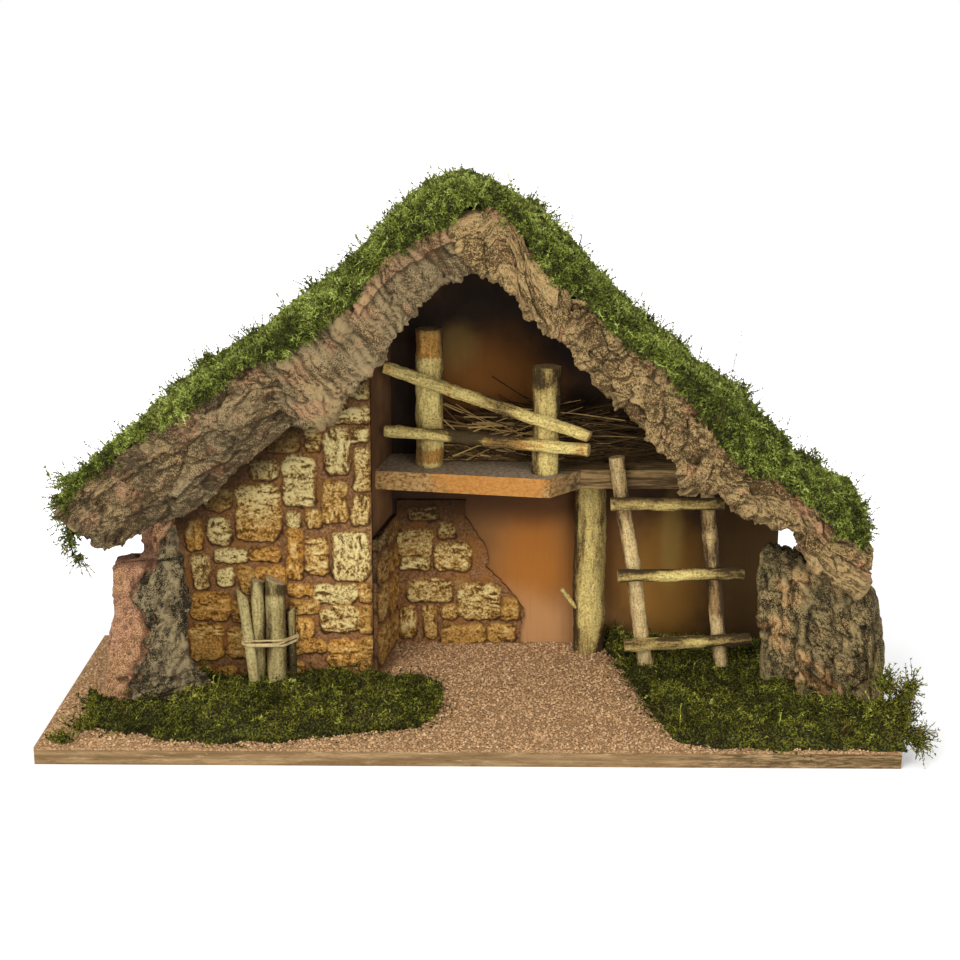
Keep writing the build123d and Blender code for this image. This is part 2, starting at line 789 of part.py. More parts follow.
# Bundle of sticks leaning on the stones
stick_parts = []
tie_circles = []
for name, (foot, head, lean, diameter, tall) in bundle_sticks.items():
    head_y = stone_face - contact_gap - diameter / 2
    start = (bundle_x + foot, head_y - lean, ground)
    end = (bundle_x + head, head_y, ground + tall)
    axis = Vector(*end) - Vector(*start)
    below = Vector(*start) - axis.normalized() * diameter
    share = tie_height / tall
    tie_circles.append((start[0] + share * axis.X, start[1] + share * axis.Y, diameter / 2))
    with BuildPart() as stick:
        with BuildSketch(Plane(origin=below, z_dir=axis)):
            Circle(diameter / 2)
        extrude(amount=axis.length + diameter)
        split(bisect_by=Plane.XY.offset(ground), keep=Keep.TOP)
    finish(stick, "bundle_stick_" + name)
    stick_parts.append(stick.part)

# Raffia tie round the bundle
with BuildPart() as bundle_tie:
    with BuildSketch(Plane.XY.offset(ground + tie_height)) as loop:
        with BuildSketch(mode=Mode.PRIVATE) as stick_rounds:
            for x, y, radius in tie_circles:
                with Locations((x, y)):
                    Circle(radius)
        make_hull(stick_rounds.edges())
        offset(amount=tie_thickness)
        make_hull(stick_rounds.edges(), mode=Mode.SUBTRACT)
    extrude(amount=tie_width)
    for stick_part in stick_parts:
        add(stick_part, mode=Mode.SUBTRACT)
finish(bundle_tie, "bundle_tie")

# Granulated cork ground, round the walled-in room and everything else that stands on the base
standing = [
    back_wall.part, stone_wall.part, back_stone_facing.part, partition_stone_facing.part,
    support_post.part, bark_stump_left.part, bark_stump_right.part,
]
with BuildPart() as ground_cover:
    with BuildSketch(Plane.XY.offset(base_thickness)):
        Rectangle(base_width, base_depth)
        with BuildLine():
            Polyline(
                (house_left, stone_wall_front),
                (partition_x, stone_wall_front),
                (partition_x, stone_wall_rear),
                (partition_rear_x, back_wall_front),
                (partition_rear_x, back_wall_rear),
                (house_left, back_wall_rear),
                close=True,
            )
        make_face(mode=Mode.SUBTRACT)
    extrude(amount=ground_thickness)
    cut_nail_holes(base_nail_planes)
    for piece in standing:
        add(piece, mode=Mode.SUBTRACT)
finish(ground_cover, "ground_cover")

# Ground moss. Each patch: shares of the way from left to right and from the front to the rear
def patch_outline(left, right, front, rear, outline):
    Polyline(
        *[(left + across * (right - left), front + back * (rear - front)) for across, back in outline],
        close=True,
    )


# The left patch lies in front of the stones, from the stump to the doorway
with BuildPart() as ground_moss_left:
    with BuildSketch(Plane.XY.offset(ground)):
        with BuildLine():
            patch_outline(
                left_stump_x, partition_x + left_moss_reach, base_front + moss_inset, stone_face - contact_gap,
                ((-0.03, 0.28), (0.32, 0.02), (0.57, 0.08), (0.76, 0.2), (0.94, 0.47), (1, 0.76),
                 (0.78, 0.95), (0.32, 1), (0.26, 0.96), (-0.03, 0.61)),
            )
        make_face()
    extrude(amount=ground_moss_height, taper=30)
    add(bark_stump_left.part, mode=Mode.SUBTRACT)
    for stick_part in stick_parts:
        add(stick_part, mode=Mode.SUBTRACT)
finish(ground_moss_left, "ground_moss_left")

# The right patch runs from the support post round the ladder's feet and the stump to the front corner
with BuildPart() as ground_moss_right:
    with BuildSketch(Plane.XY.offset(ground)):
        with BuildLine():
            patch_outline(
                support_post_x + support_post_diameter, base_right, base_front + moss_inset, back_wall_front,
                ((-0.04, 1), (0, 0.77), (0.07, 0.34), (0.16, 0), (1, 0), (1, 0.64), (0.7, 0.94), (0.56, 1)),
            )
        make_face()
    extrude(amount=ground_moss_height, taper=30)
    add(bark_stump_right.part, mode=Mode.SUBTRACT)
    for stile_part in ladder_stiles:
        add(stile_part, mode=Mode.SUBTRACT)
finish(ground_moss_right, "ground_moss_right")

# Nails and pins, each group in its own file
make_nails(base_nail_planes, "base_nails")
make_nails(loft_nail_planes, "loft_nails")
make_nails(post_nail_planes, "post_nails")
make_nails(roof_nail_planes[-1] + roof_nail_planes[1], "roof_nails")
make_nails(fascia_brad_planes[-1] + fascia_brad_planes[1], "fascia_brads")
make_pins(rail_pin_planes, rail_pin_length, "rail_pins")
make_pins(rung_pin_planes, rung_pin_length, "rung_pins")
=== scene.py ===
import itertools
import math

import bpy
import numpy as np
from mathutils import Matrix


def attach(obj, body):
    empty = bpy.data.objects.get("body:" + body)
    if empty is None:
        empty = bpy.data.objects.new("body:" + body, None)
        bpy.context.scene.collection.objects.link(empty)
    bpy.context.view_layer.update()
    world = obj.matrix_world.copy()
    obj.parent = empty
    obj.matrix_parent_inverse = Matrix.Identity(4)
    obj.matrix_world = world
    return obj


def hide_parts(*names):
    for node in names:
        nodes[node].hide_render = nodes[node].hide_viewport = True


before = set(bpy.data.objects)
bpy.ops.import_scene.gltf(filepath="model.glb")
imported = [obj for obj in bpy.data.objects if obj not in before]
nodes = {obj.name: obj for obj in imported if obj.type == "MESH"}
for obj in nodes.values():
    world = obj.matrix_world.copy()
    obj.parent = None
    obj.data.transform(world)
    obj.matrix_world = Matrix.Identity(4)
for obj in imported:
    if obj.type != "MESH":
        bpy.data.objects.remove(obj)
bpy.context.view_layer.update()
mm = 0.001  # shapes are worked out in millimetres
print("frame loaded:", len(nodes), "nodes")


# Randomness that depends on place alone

def lattice(cell, seed):
    # A share from 0 to 1 for each lattice place: weighted indices added up, then folded by xor and shift
    mixed = cell[..., 0] * 374761393 + cell[..., 1] * 668265263 + cell[..., 2] * 974634707
    mixed = (mixed + seed * 144269504) & 0xFFFFFFFF
    mixed = ((mixed ^ (mixed >> 13)) * 1274126177) & 0xFFFFFFFF
    return (mixed ^ (mixed >> 16)) / 4294967296.0


def noise(points, size, seed):
    # Random heights at lattice places, blended along each axis by 3t^2 - 2t^3, from -1 to 1
    scaled = points / np.asarray(size, float)
    cell = np.floor(scaled).astype(np.int64)
    t = scaled - cell
    t = t * t * (3 - 2 * t)
    total = np.zeros(scaled.shape[:-1])
    for corner in itertools.product((0, 1), repeat=3):
        weight = np.prod(np.where(corner, t, 1 - t), axis=-1)
        total += weight * lattice(cell + np.array(corner), seed)
    return 2 * total - 1


def sway(points, size, seed):
    # A noise for each of the three axes
    return np.stack([noise(points, size, seed + axis) for axis in range(3)], -1)


def fractal(points, size, seed, octaves=3):
    # Noise plus half as much at half the size, and so on
    total = np.zeros(points.shape[:-1])
    for octave in range(octaves):
        total += noise(points, np.asarray(size, float) / 2 ** octave, seed + octave) / 2 ** octave
    return total / 1.5


def plates(points, size, seed):
    # Round a random spot in each lattice cube, a plane with its own height and tilt, cut where the next spot
    # is nearer. Gives the distance to the spot, the plane's height, its tone, and how much further off the
    # next spot is
    scaled = points / np.asarray(size, float)
    cell = np.floor(scaled).astype(np.int64)
    nearest = np.full(scaled.shape[:-1], 9.0)
    second, plane, tone = nearest.copy(), 0 * nearest, 0 * nearest
    for offset in itertools.product((-1, 0, 1), repeat=3):
        cube = cell + np.array(offset)
        away = scaled - cube - np.stack([lattice(cube, seed + axis) for axis in range(3)], -1)
        gap = np.linalg.norm(away, axis=-1)
        rise, leanAlong, leanDown, shade = [2 * lattice(cube, seed + number) - 1 for number in range(3, 7)]
        closer = gap < nearest
        plane = np.where(closer, rise + 1.3 * leanAlong * away[..., 0] + 1.3 * leanDown * away[..., 1], plane)
        tone = np.where(closer, shade, tone)
        second = np.minimum(second, np.maximum(nearest, gap))
        nearest = np.minimum(nearest, gap)
    return nearest, plane, tone, second - nearest


def ease(value, low, high):
    # 0 below low, 1 above high, smooth between
    t = np.clip((value - low) / (high - low), 0, 1)
    return t * t * (3 - 2 * t)


def unit(vectors):
    return vectors / np.maximum(np.linalg.norm(vectors, axis=-1, keepdims=True), 1e-9)


def along(table, places):
    # Straight runs between the rows of a table of (place, value)
    table = np.asarray(table, float)
    return np.interp(places, table[:, 0], table[:, 1])


# Putting arrays into Blender

def gridFaces(rows, columns, wrapped):
    # Four corners of every cell of a grid whose last column may join its first
    across = columns if wrapped else columns - 1
    row, column = np.meshgrid(np.arange(rows - 1), np.arange(across), indexing="ij")
    here = row * columns + column
    right = row * columns + (column + 1) % columns
    return np.stack([here, right, right + columns, here + columns], -1).reshape(-1, 4)


def capFaces(ring, pole):
    # A fan from a closed ring of points to one point
    return np.stack([ring, np.roll(ring, -1), np.full(len(ring), pole)], -1)


def signedVolume(points, faceSets):
    # A sixth of the triple products of the fans of all faces
    total = 0.0
    for faces in faceSets:
        for second in range(1, faces.shape[1] - 1):
            a, b, c = points[faces[:, 0]], points[faces[:, second]], points[faces[:, second + 1]]
            total += np.einsum("ij,ij->", a, np.cross(b, c))
    return total / 6


def putPiece(name, points, faceSets, cover, values, smooth=True):
    # A cover is a finish, a slot and the nodes that the piece replaces. Values are numbers per point that the
    # finish reads. Where there is a hue, tone and hue also give each point's place on a colour map
    finishKey, slotName, replaced = cover
    points = points.reshape(-1, 3)
    if signedVolume(points, faceSets) < 0:
        faceSets = [faces[:, ::-1] for faces in faceSets]
    corners = np.concatenate([faces.ravel() for faces in faceSets]).astype(np.int32)
    sizes = np.concatenate([np.full(len(faces), faces.shape[1]) for faces in faceSets])
    starts = np.concatenate([[0], np.cumsum(sizes)[:-1]]).astype(np.int32)
    mesh = bpy.data.meshes.new(name)
    mesh.vertices.add(len(points))
    mesh.vertices.foreach_set("co", (points * mm).astype(np.float32).ravel())
    mesh.loops.add(len(corners))
    mesh.loops.foreach_set("vertex_index", corners)
    mesh.polygons.add(len(sizes))
    mesh.polygons.foreach_set("loop_start", starts)
    mesh.polygons.foreach_set("use_smooth", np.full(len(sizes), smooth))
    mesh.update(calc_edges=True)
    for key, numbers in values.items():
        numbers = np.asarray(numbers, np.float32)
        triple = numbers.size == points.size
        layer = mesh.attributes.new(key, "FLOAT_VECTOR" if triple else "FLOAT", "POINT")
        layer.data.foreach_set("vector" if triple else "value", numbers.ravel())
    if "hue" in values:
        places = np.stack([values["tone"], values["hue"]], -1).reshape(-1, 2)
        layer = mesh.uv_layers.new(name="OFBake")
        layer.uv.foreach_set("vector", places[corners].astype(np.float32).ravel())
    mesh.materials.append(finishes[finishKey])
    piece = bpy.data.objects.new(name, mesh)
    bpy.context.scene.collection.objects.link(piece)
    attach(piece, "root")
    if replaced:
        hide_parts(*replaced)
    print("piece", name, "triangles", int((sizes - 2).sum()))


def putTube(name, grid, poles, cover, values, poleValues):
    # A grid of rings whose first and last are closed by two poles, which have values of their own
    rows, columns = grid.shape[:2]
    first = np.arange(columns)
    last = rows * columns
    end = first + last - columns
    faceSets = [gridFaces(rows, columns, True), capFaces(first[::-1], last), capFaces(end, last + 1)]
    values = {key: np.concatenate([numbers.reshape(-1, *numbers.shape[2:]), poleValues[key]])
              for key, numbers in values.items()}
    putPiece(name, np.concatenate([grid.reshape(-1, 3), poles]), faceSets, cover, values)


def putMany(name, points, faceSets, cover, tone, hue):
    # Many copies of one small mesh, a row of points each, flat shaded
    step = points.shape[1] * np.arange(len(points))[:, None, None]
    faceSets = [(faces + step).reshape(-1, faces.shape[1]) for faces in faceSets]
    values = {"tone": np.clip(tone, 0.01, 0.99), "hue": np.clip(hue, 0.01, 0.99)}
    putPiece(name, points, faceSets, cover, values, False)


# Finishes

def paint(colour):
    # A screen colour, 0 to 255, as the linear colour that a shader takes. A colour from nodes stays as it is
    if isinstance(colour, Flow):
        return colour
    share = np.array(colour) / 255
    linear = np.where(share < 0.04045, share / 12.92, ((share + 0.055) / 1.055) ** 2.4)
    return (*[float(part) for part in linear], 1.0)


def addNode(tree, kind, inputs=None, **settings):
    node = tree.nodes.new("ShaderNode" + kind)
    for key, value in settings.items():
        setattr(node, key, value)
    for key, value in (inputs or {}).items():
        if isinstance(value, Flow):
            tree.links.new(value.socket, node.inputs[key])
        else:
            node.inputs[key].default_value = value
    return node


class Flow:
    # A value on its way through a node tree, so that sums of values are written as sums
    def __init__(self, tree, node, output=0):
        self.tree = tree
        self.socket = node.outputs[output]

    def op(self, operation, other=0.0):
        return Flow(self.tree, addNode(self.tree, "Math", {0: self, 1: other}, operation=operation))

    def __add__(self, other):
        return self.op("ADD", other)

    def __sub__(self, other):
        return self.op("SUBTRACT", other)

    def __mul__(self, other):
        return self.op("MULTIPLY", other)

    def between(self, low, high):
        # 0 at low, 1 at high, smooth between
        inputs = {"Value": self, "From Min": low, "From Max": high}
        node = addNode(self.tree, "MapRange", inputs, interpolation_type="SMOOTHSTEP")
        return Flow(self.tree, node, "Result")

    def blend(self, first, second):
        # From the first colour to the second as this goes from 0 to 1
        inputs = {"Factor": self, 6: paint(first), 7: paint(second)}
        node = addNode(self.tree, "Mix", inputs, data_type="RGBA")
        return Flow(self.tree, node, 2)

    def ramp(self, stops):
        node = addNode(self.tree, "ValToRGB", {"Fac": self})
        elements = node.color_ramp.elements
        while len(elements) < len(stops):
            elements.new(0.5)
        for element, (place, colour) in zip(elements, stops):
            element.position = place
            element.color = paint(colour)
        return Flow(self.tree, node, "Color")


class Finish:
    # A material being built: the values that its colour and bump come from
    def __init__(self, name, roughness):
        self.material = bpy.data.materials.new(name)
        self.material.use_nodes = True
        self.tree = self.material.node_tree
        self.shader = self.tree.nodes["Principled BSDF"]
        self.shader.inputs["Roughness"].default_value = roughness
        self.shader.inputs["Specular IOR Level"].default_value = 0.2

    def value(self, kind, output, inputs=None, **settings):
        return Flow(self.tree, addNode(self.tree, kind, inputs, **settings), output)

    def place(self, scale=(1, 1, 1), shift=(0, 0, 0)):
        inputs = {"Vector": self.value("TexCoord", "Object"), "Scale": scale, "Location": shift}
        return self.value("Mapping", "Vector", inputs)

    def reading(self, name, output="Fac"):
        return self.value("Attribute", output, attribute_name=name)

    def across(self):
        return self.value("SeparateXYZ", "X", {0: self.place()})

    def up(self):
        return self.value("SeparateXYZ", "Z", {0: self.place()})

    def facing(self, axis):
        return self.value("SeparateXYZ", axis, {0: self.value("NewGeometry", "Normal")})

    def grain(self, scale, detail=4.0, roughness=0.6, place=None):
        # Noise over the object's own coordinates or over a place. Three scales stretch it along the axes
        if isinstance(scale, tuple):
            place = self.place(scale)
            scale = 1.0
        inputs = {"Vector": place or self.place(), "Scale": scale, "Detail": detail, "Roughness": roughness}
        return self.value("TexNoise", "Fac", inputs)

    def speckle(self, scale):
        return self.grain(scale, 2, 0.5).between(0.38, 0.62) - 0.5

    def glow(self, centre, reach):
        # 1 at a place on a wall, falling to 0 at its reach across and up
        scale = (1 / (reach[0] * mm), 0, 1 / (reach[1] * mm))
        shift = (-centre[0] / reach[0], 0, -centre[1] / reach[1])
        return self.ball(self.place(scale, shift))

    def ball(self, place):
        # 1 at the middle of a place, 0 one unit from it
        return self.value("TexGradient", "Fac", {"Vector": place}, gradient_type="SPHERICAL")

    def done(self, colour, bump=None, distance=0.0, strength=0.8):
        self.tree.links.new(colour.socket, self.shader.inputs["Base Color"])
        if bump:
            inputs = {"Height": bump, "Distance": distance, "Strength": strength}
            normal = self.value("Bump", "Normal", inputs)
            self.tree.links.new(normal.socket, self.shader.inputs["Normal"])
        return self.material


def barkFinish(name, light, dark, greyLight, greyDark, warm, fleck, deep, hollowShade):
    # Cork bark: grainy in two tones, greyer where the outer skin is left, warm where it is broken, with
    # painted highlight on what stands out and painted shade in hollows
    finish = Finish(name, 0.95)
    fine = finish.grain(620, 6, 0.8)
    # The tone read here carries painted light: faces that the relief turns upward are lighter
    mixed = fine * 0.8 + finish.grain(110) * 0.35 + finish.reading("tone") * 0.22
    mixed = mixed + finish.speckle(1500) * 0.36
    share = mixed.between(0.4, 0.74)
    colour = finish.reading("grey").blend(share.blend(dark, light), share.blend(greyDark, greyLight))
    colour = finish.reading("warm").blend(colour, share.blend(*warm))
    flecks = finish.grain(260, 2).between(0.64, 0.7) * fleck[0]
    colour = flecks.blend(colour, fleck[1])
    shadeAndHighlight = finish.reading("crevice") + (fine - 0.5) * 0.6
    # Painted highlight where the crevice value is below zero, painted shade in hollows where it is above
    colour = (shadeAndHighlight.between(-0.15, -0.75) * 0.4).blend(colour, (212, 190, 150))
    colour = (shadeAndHighlight.between(0.05, 1.0) * hollowShade).blend(colour, deep)
    return finish.done(colour, fine, 0.003)


def stoneFinish():
    # Painted relief: brown mortar, ochre to orange stones, cream dry-brushed over the high strokes, painted
    # shadow at the stones' rims and painted shade under the roof
    finish = Finish("carvedStones", 0.92)
    fine = finish.grain(640, 5, 0.85)
    speck = fine - 0.5
    stroke = finish.reading("stroke") * 1.15 + speck * 7.0
    stone = finish.reading("orange").blend((180, 140, 72), (214, 152, 67))
    stone = (stroke.between(0.05, -0.7) * 0.9).blend(stone, (78, 52, 18))
    cream = (stroke + finish.reading("cream")).between(0.1, 1.5) * 0.95
    stone = cream.blend(stone, (249, 231, 161))
    mortar = fine.between(0.34, 0.64).blend((84, 54, 32), (178, 128, 82))
    stain = finish.grain(60, 3).between(0.48, 0.66) * 0.6
    mortar = stain.blend(mortar, (166, 108, 44))
    gilt = (finish.reading("mortarLift") + speck).between(0.25, 0.6) * 0.5
    mortar = gilt.blend(mortar, (196, 166, 104))
    colour = finish.reading("mortar").blend(stone, mortar)
    # Painted shadow round the edge of each stone, strongest under it
    rim = finish.reading("rim") * fine.between(0.25, 0.5)
    colour = rim.blend(colour, (52, 30, 14))
    # Painted shade under the bark, the roof and the loft
    colour = finish.reading("paintedShade").blend(colour, (36, 22, 8))
    return finish.done(colour, fine, 0.0026)


def paletteFinish(name, stops, other, roughness=0.85, speckle=0.0):
    # A colour from each point's tone, speckled, turning to another colour as its hue goes from 0.6 to 1
    finish = Finish(name, roughness)
    tone = finish.reading("tone")
    if speckle:
        tone = tone + finish.speckle(760) * speckle
    return finish.done(finish.reading("hue").between(0.6, 1.0).blend(tone.ramp(stops), other))


def logFinish(name, pale, deep, bark, dark, orange, end, cover=0.0):
    # Peeled branch: streaks along it, bark left in strips and flecks, orange inner bark, plain cut ends. The
    # bark value also holds painted shade on the flanks
    finish = Finish(name, 0.85)
    line = finish.reading("lengthwise", "Vector")
    broad = finish.grain(0.22, 3, place=line)
    fine = finish.grain(560, 5, 0.85)
    mixed = finish.grain(1.0, 5, 0.7, line) * 0.5 + fine * 0.5
    colour = mixed.between(0.4, 0.6).blend(deep, pale)
    spots = finish.grain(820, 2, 0.5)
    colour = (spots.between(0.54, 0.64) * 0.5).blend(colour, pale)
    bare = (broad + finish.reading("orange")).between(0.66, 0.86) * 0.8
    colour = bare.blend(colour, mixed.between(0.4, 0.58).blend((118, 74, 28), orange))
    left = mixed + cover + finish.reading("bark") * 0.3 + (broad - 0.5) * 0.5
    colour = (left.between(0.5, 0.6) * 0.85).blend(colour, bark)
    colour = (left.between(0.61, 0.68) * 0.9).blend(colour, dark)
    colour = (spots.between(0.45, 0.35) * 0.42).blend(colour, dark)
    colour = finish.reading("cut").blend(colour, fine.between(0.4, 0.6).blend(*end))
    return finish.done(colour, mixed, 0.0026)


def boardFinish(name, glows, base):
    # A painted board, sprayed in soft clouds over a dark ground, with brush streaks, and bare at the back.
    # Glows are sprayed clouds, or painted shadow where the table of glows says so
    finish = Finish(name, 0.75)
    streaks = finish.grain((420, 200, 22))
    clouds = finish.grain(26, 3)
    colour = clouds.between(0.35, 0.7).blend(*base)
    for centre, reach, tint, strength in glows:
        cloud = finish.glow(centre, reach) + (clouds - 0.5) * 0.5
        colour = (cloud.between(0.05, 0.75) * strength).blend(colour, tint)
    colour = (streaks.between(0.5, 0.75) * 0.1).blend(colour, (70, 40, 16))
    bare = streaks.between(0.3, 0.7).blend((126, 96, 66), (158, 126, 92))
    colour = finish.facing("Y").between(0.4, 0.6).blend(colour, bare)
    return finish.done(colour, streaks, 0.0006, 0.4)


def plyFinish(name, pale, deep, plies, thickness):
    # Plywood: grain along the board, layers of two tones at its frayed edges, dark with damp at the right
    finish = Finish(name, 0.8)
    lines = finish.grain((14, 160, 260), 5, 0.65)
    fine = finish.grain((120, 500, 900), 4, 0.7)
    frayed = finish.grain((60, 300, 420), 6, 0.75)
    layer = ((finish.up() + lines * 0.0016) * (plies * math.pi / (thickness * mm))).op("SINE")
    edge = finish.facing("Z").op("ABSOLUTE").between(0.7, 0.3)
    damp = finish.across().between(0.11, 0.15) * (frayed + fine).between(0.9, 1.1)
    colour = lines.between(0.35, 0.65).blend(pale, deep)
    colour = (layer.between(0.0, 0.8) * edge * 0.3).blend(colour, (116, 90, 56))
    colour = (frayed.between(0.5, 0.68) * 0.75).blend(colour, (112, 88, 56))
    colour = (frayed.between(0.46, 0.32) * 0.6).blend(colour, (206, 178, 134))
    colour = (fine.between(0.55, 0.7) * 0.6).blend(colour, (84, 62, 36))
    colour = (damp * 0.75).blend(colour, (72, 56, 28))
    return finish.done(colour, fine + frayed, 0.002)


def loftFinish():
    # Chipboard: tan and brown chips, stained orange in the middle, dusty on top, streaked like old wood at
    # the right
    finish = Finish("chipboard", 0.9)
    chips = finish.grain((380, 380, 620), 4, 0.75)
    colour = chips.between(0.36, 0.62).blend((106, 76, 36), (178, 140, 88))
    stain = finish.glow((12, 136), (52, 90)) * 1.4 + finish.grain(60, 3)
    colour = (stain.between(0.9, 1.3) * 0.6).blend(colour, (192, 126, 52))
    dust = chips.between(0.35, 0.65).blend((116, 98, 76), (172, 152, 124))
    colour = finish.facing("Z").between(0.4, 0.7).blend(colour, dust)
    old = finish.grain((36, 300, 420), 5, 0.7).between(0.38, 0.62).blend((78, 60, 36), (154, 125, 82))
    colour = finish.across().between(0.05, 0.066).blend(colour, old)
    return finish.done(colour, chips, 0.0012)


def groundFinish():
    # Glued cork crumbs, pinkish brown
    finish = Finish("corkCrumbs", 0.95)
    crumb = finish.value("TexVoronoi", "Distance", {"Vector": finish.place(), "Scale": 800})
    fine = finish.grain(700, 4, 0.7)
    colour = fine.ramp(((0.3, (140, 102, 62)), (0.5, (186, 148, 106)), (0.68, (218, 182, 140))))
    colour = crumb.between(0.4, 0.8).blend(colour, (136, 100, 62))
    return finish.done(colour, fine - crumb, 0.0016, 0.9)


def steelFinish():
    finish = Finish("nailSteel", 0.45)
    finish.shader.inputs["Metallic"].default_value = 1.0
    return finish.done(finish.grain(900, 3).blend((120, 118, 114), (176, 174, 170)))


mossStops = ((0.0, (20, 20, 3)), (0.3, (56, 60, 12)), (0.55, (94, 102, 30)), (0.8, (138, 150, 62)),
             (1.0, (184, 194, 110)))
groundStops = ((0.0, (22, 20, 3)), (0.3, (60, 60, 10)), (0.55, (102, 102, 24)), (0.8, (146, 147, 50)),
               (1.0, (188, 190, 96)))
crumbStops = ((0.0, (146, 108, 68)), (0.5, (188, 150, 108)), (1.0, (218, 184, 144)))
twigStops = ((0.0, (38, 24, 8)), (0.5, (104, 80, 44)), (1.0, (190, 156, 96)))
sawnEnd = ((160, 124, 74), (206, 174, 118))
wallGlows = (  # middle across and up, reach across and up, colour, strength
    ((48, 66), (92, 112), (136, 92, 48), 0.95), ((44, 64), (36, 72), (166, 102, 34), 0.75),
    # The glow at (40, 118), dark round the loft's height, is painted shadow of the loft board; the others are
    # sprayed paint
    ((34, 20), (96, 42), (182, 134, 86), 0.85), ((40, 118), (130, 34), (64, 38, 16), 0.85),
    ((14, 190), (58, 48), (132, 82, 28), 0.95), ((-8, 213), (20, 24), (138, 110, 54), 0.55),
    ((128, 52), (48, 70), (140, 98, 38), 0.85), ((134, 82), (11, 46), (150, 122, 62), 0.55),
    ((188, 66), (44, 96), (92, 66, 32), 0.8))
finishes = {
    "corkLeft": barkFinish(
        "corkBarkLeft", (172, 147, 103), (84, 65, 40), (153, 134, 97), (86, 71, 47),
        ((116, 80, 54), (186, 144, 106)), (0.2, (186, 112, 52)), (56, 42, 26), 0.5),
    "corkRight": barkFinish(
        "corkBarkRight", (188, 158, 106), (88, 67, 37), (170, 147, 101), (80, 64, 38),
        ((140, 94, 64), (200, 150, 110)), (0.15, (194, 124, 80)), (50, 37, 22), 0.66),
    "stumpRight": barkFinish(
        "darkBark", (178, 155, 106), (62, 50, 28), (148, 130, 88), (58, 49, 30),
        ((158, 108, 62), (220, 180, 122)), (0.45, (202, 172, 104)), (24, 19, 12), 0.6),
    "stumpLeft": barkFinish(
        "brokenCork", (212, 166, 120), (138, 92, 60), (158, 140, 102), (42, 35, 22),
        ((140, 92, 66), (206, 160, 122)), (0.3, (176, 142, 74)), (40, 22, 16), 0.56),
    "stones": stoneFinish(),
    "roofMoss": paletteFinish("roofMoss", mossStops, (128, 112, 58), 0.85, 0.3),
    "groundMoss": paletteFinish("groundMoss", groundStops, (122, 92, 50), 0.85, 0.44),
    "crumbs": paletteFinish("looseCrumbs", crumbStops, (124, 86, 52), 0.95),
    "twigs": paletteFinish("brushTwigs", twigStops, (72, 48, 22)),
    "branch": logFinish("peeledBranch", (238, 216, 136), (176, 150, 84), (128, 102, 56), (56, 43, 24),
                        (204, 134, 50), sawnEnd, 0.04),
    "stile": logFinish("stileBranch", (232, 206, 148), (172, 142, 92), (142, 112, 70), (70, 53, 32),
                       (196, 130, 60), sawnEnd, 0.03),
    "stick": logFinish("bundleStick", (204, 188, 130), (148, 128, 74), (112, 94, 54), (62, 50, 28),
                       (150, 112, 62), ((176, 146, 104), (222, 196, 156))),
    "raffia": logFinish("raffia", (232, 214, 164), (200, 174, 116), (190, 160, 104), (140, 110, 64),
                        (214, 186, 130), ((190, 160, 104), (220, 196, 140))),
    "wall": boardFinish("sprayedBoard", wallGlows, ((24, 13, 4), (46, 28, 11))),
    "darkBoard": boardFinish("stainedBoard", (), ((44, 28, 12), (76, 50, 24))),
    "partition": boardFinish("partitionBoard", (), ((78, 52, 30), (112, 80, 50))),
    "ply": plyFinish("basePly", (170, 140, 98), (128, 100, 64), 4, 9),
    "loft": loftFinish(),
    "ground": groundFinish(),
    "steel": steelFinish(),
}
cadFinishes = {
    "wall": ("back_wall",),
    "darkBoard": ("left_side_wall", "roof_panel_left", "roof_panel_right"),
    "partition": ("partition_wall",),
    "ply": ("base_board",),
    "loft": ("loft_board",),
    "ground": ("ground_cover",),
    "steel": ("base_nails", "loft_nails", "post_nails", "roof_nails", "fascia_brads", "rail_pins",
              "rung_pins"),
}
for key, names in cadFinishes.items():
    for name in names:
        nodes[name].data.materials.clear()
        nodes[name].data.materials.append(finishes[key])
print("finishes made:", len(finishes))

# Bark boards along the roof's front. Tables down a slope: distance from the ridge, depth square to it

roof = {"ridgeX": -6.0, "ridgeZ": 319.5, "pitch": {-1: 38.5, 1: 40.0}, "slope": {-1: 293.0, 1: 322.0},
        "rear": 90.0, "barkFront": -47.5}
fascia = {
    "mossLine": {
        -1: ((-10, 8), (0, 7), (9, 9), (32, 3), (53, -3), (77, 7), (111, 8), (135, 7), (155, -4), (176, -2),
             (209, -6), (238, -10), (266, -9), (279, -7), (295, -3)),
        1: ((-10, 10), (0, 7), (8, -3), (14, -11), (24, -13), (39, -9), (70, 2), (90, -3), (125, 2),
            (145, -3), (171, -1), (198, 8), (221, 13), (239, 4), (264, 2), (291, 4), (314, 1), (335, 0))},
    "lowEdge": {
        -1: ((0, 44), (19, 38), (38, 35), (56, 35), (70, 38), (95, 47), (110, 48), (132, 52), (152, 44),
             (175, 45), (196, 45), (215, 48), (235, 48), (254, 42), (282, 36), (292, 25), (296, 11)),
        1: ((33, 26), (44, 22), (61, 20), (74, 22), (90, 20), (104, 25), (122, 30), (148, 30), (163, 34),
            (175, 34), (196, 36), (211, 39), (222, 30), (241, 30), (262, 24), (270, 20), (277, 19), (282, 27),
            (296, 30), (315, 28), (328, 24), (337, 17))},
    "ridgeTop": ((-17, 303), (-8, 310), (0, 313), (8, 315), (12, 319.5), (19, 319.5), (23, 313), (28, 303),
                 (31, 294), (46, 281), (58, 267)),  # across, up
    "ridgeLow": ((1, 283), (4, 280), (11, 276), (15, 273), (19, 269), (26, 266), (29, 259), (37, 253),
                 (45, 247), (53, 240)),
    "tuck": 3.5,  # how far the bark goes up under the moss
    "middle": -39.5,  # the boards' middle, front to rear
    "thickness": 18.0,
    "grid": (205, 160),
}
toFront = np.array([0.0, -1, 0])
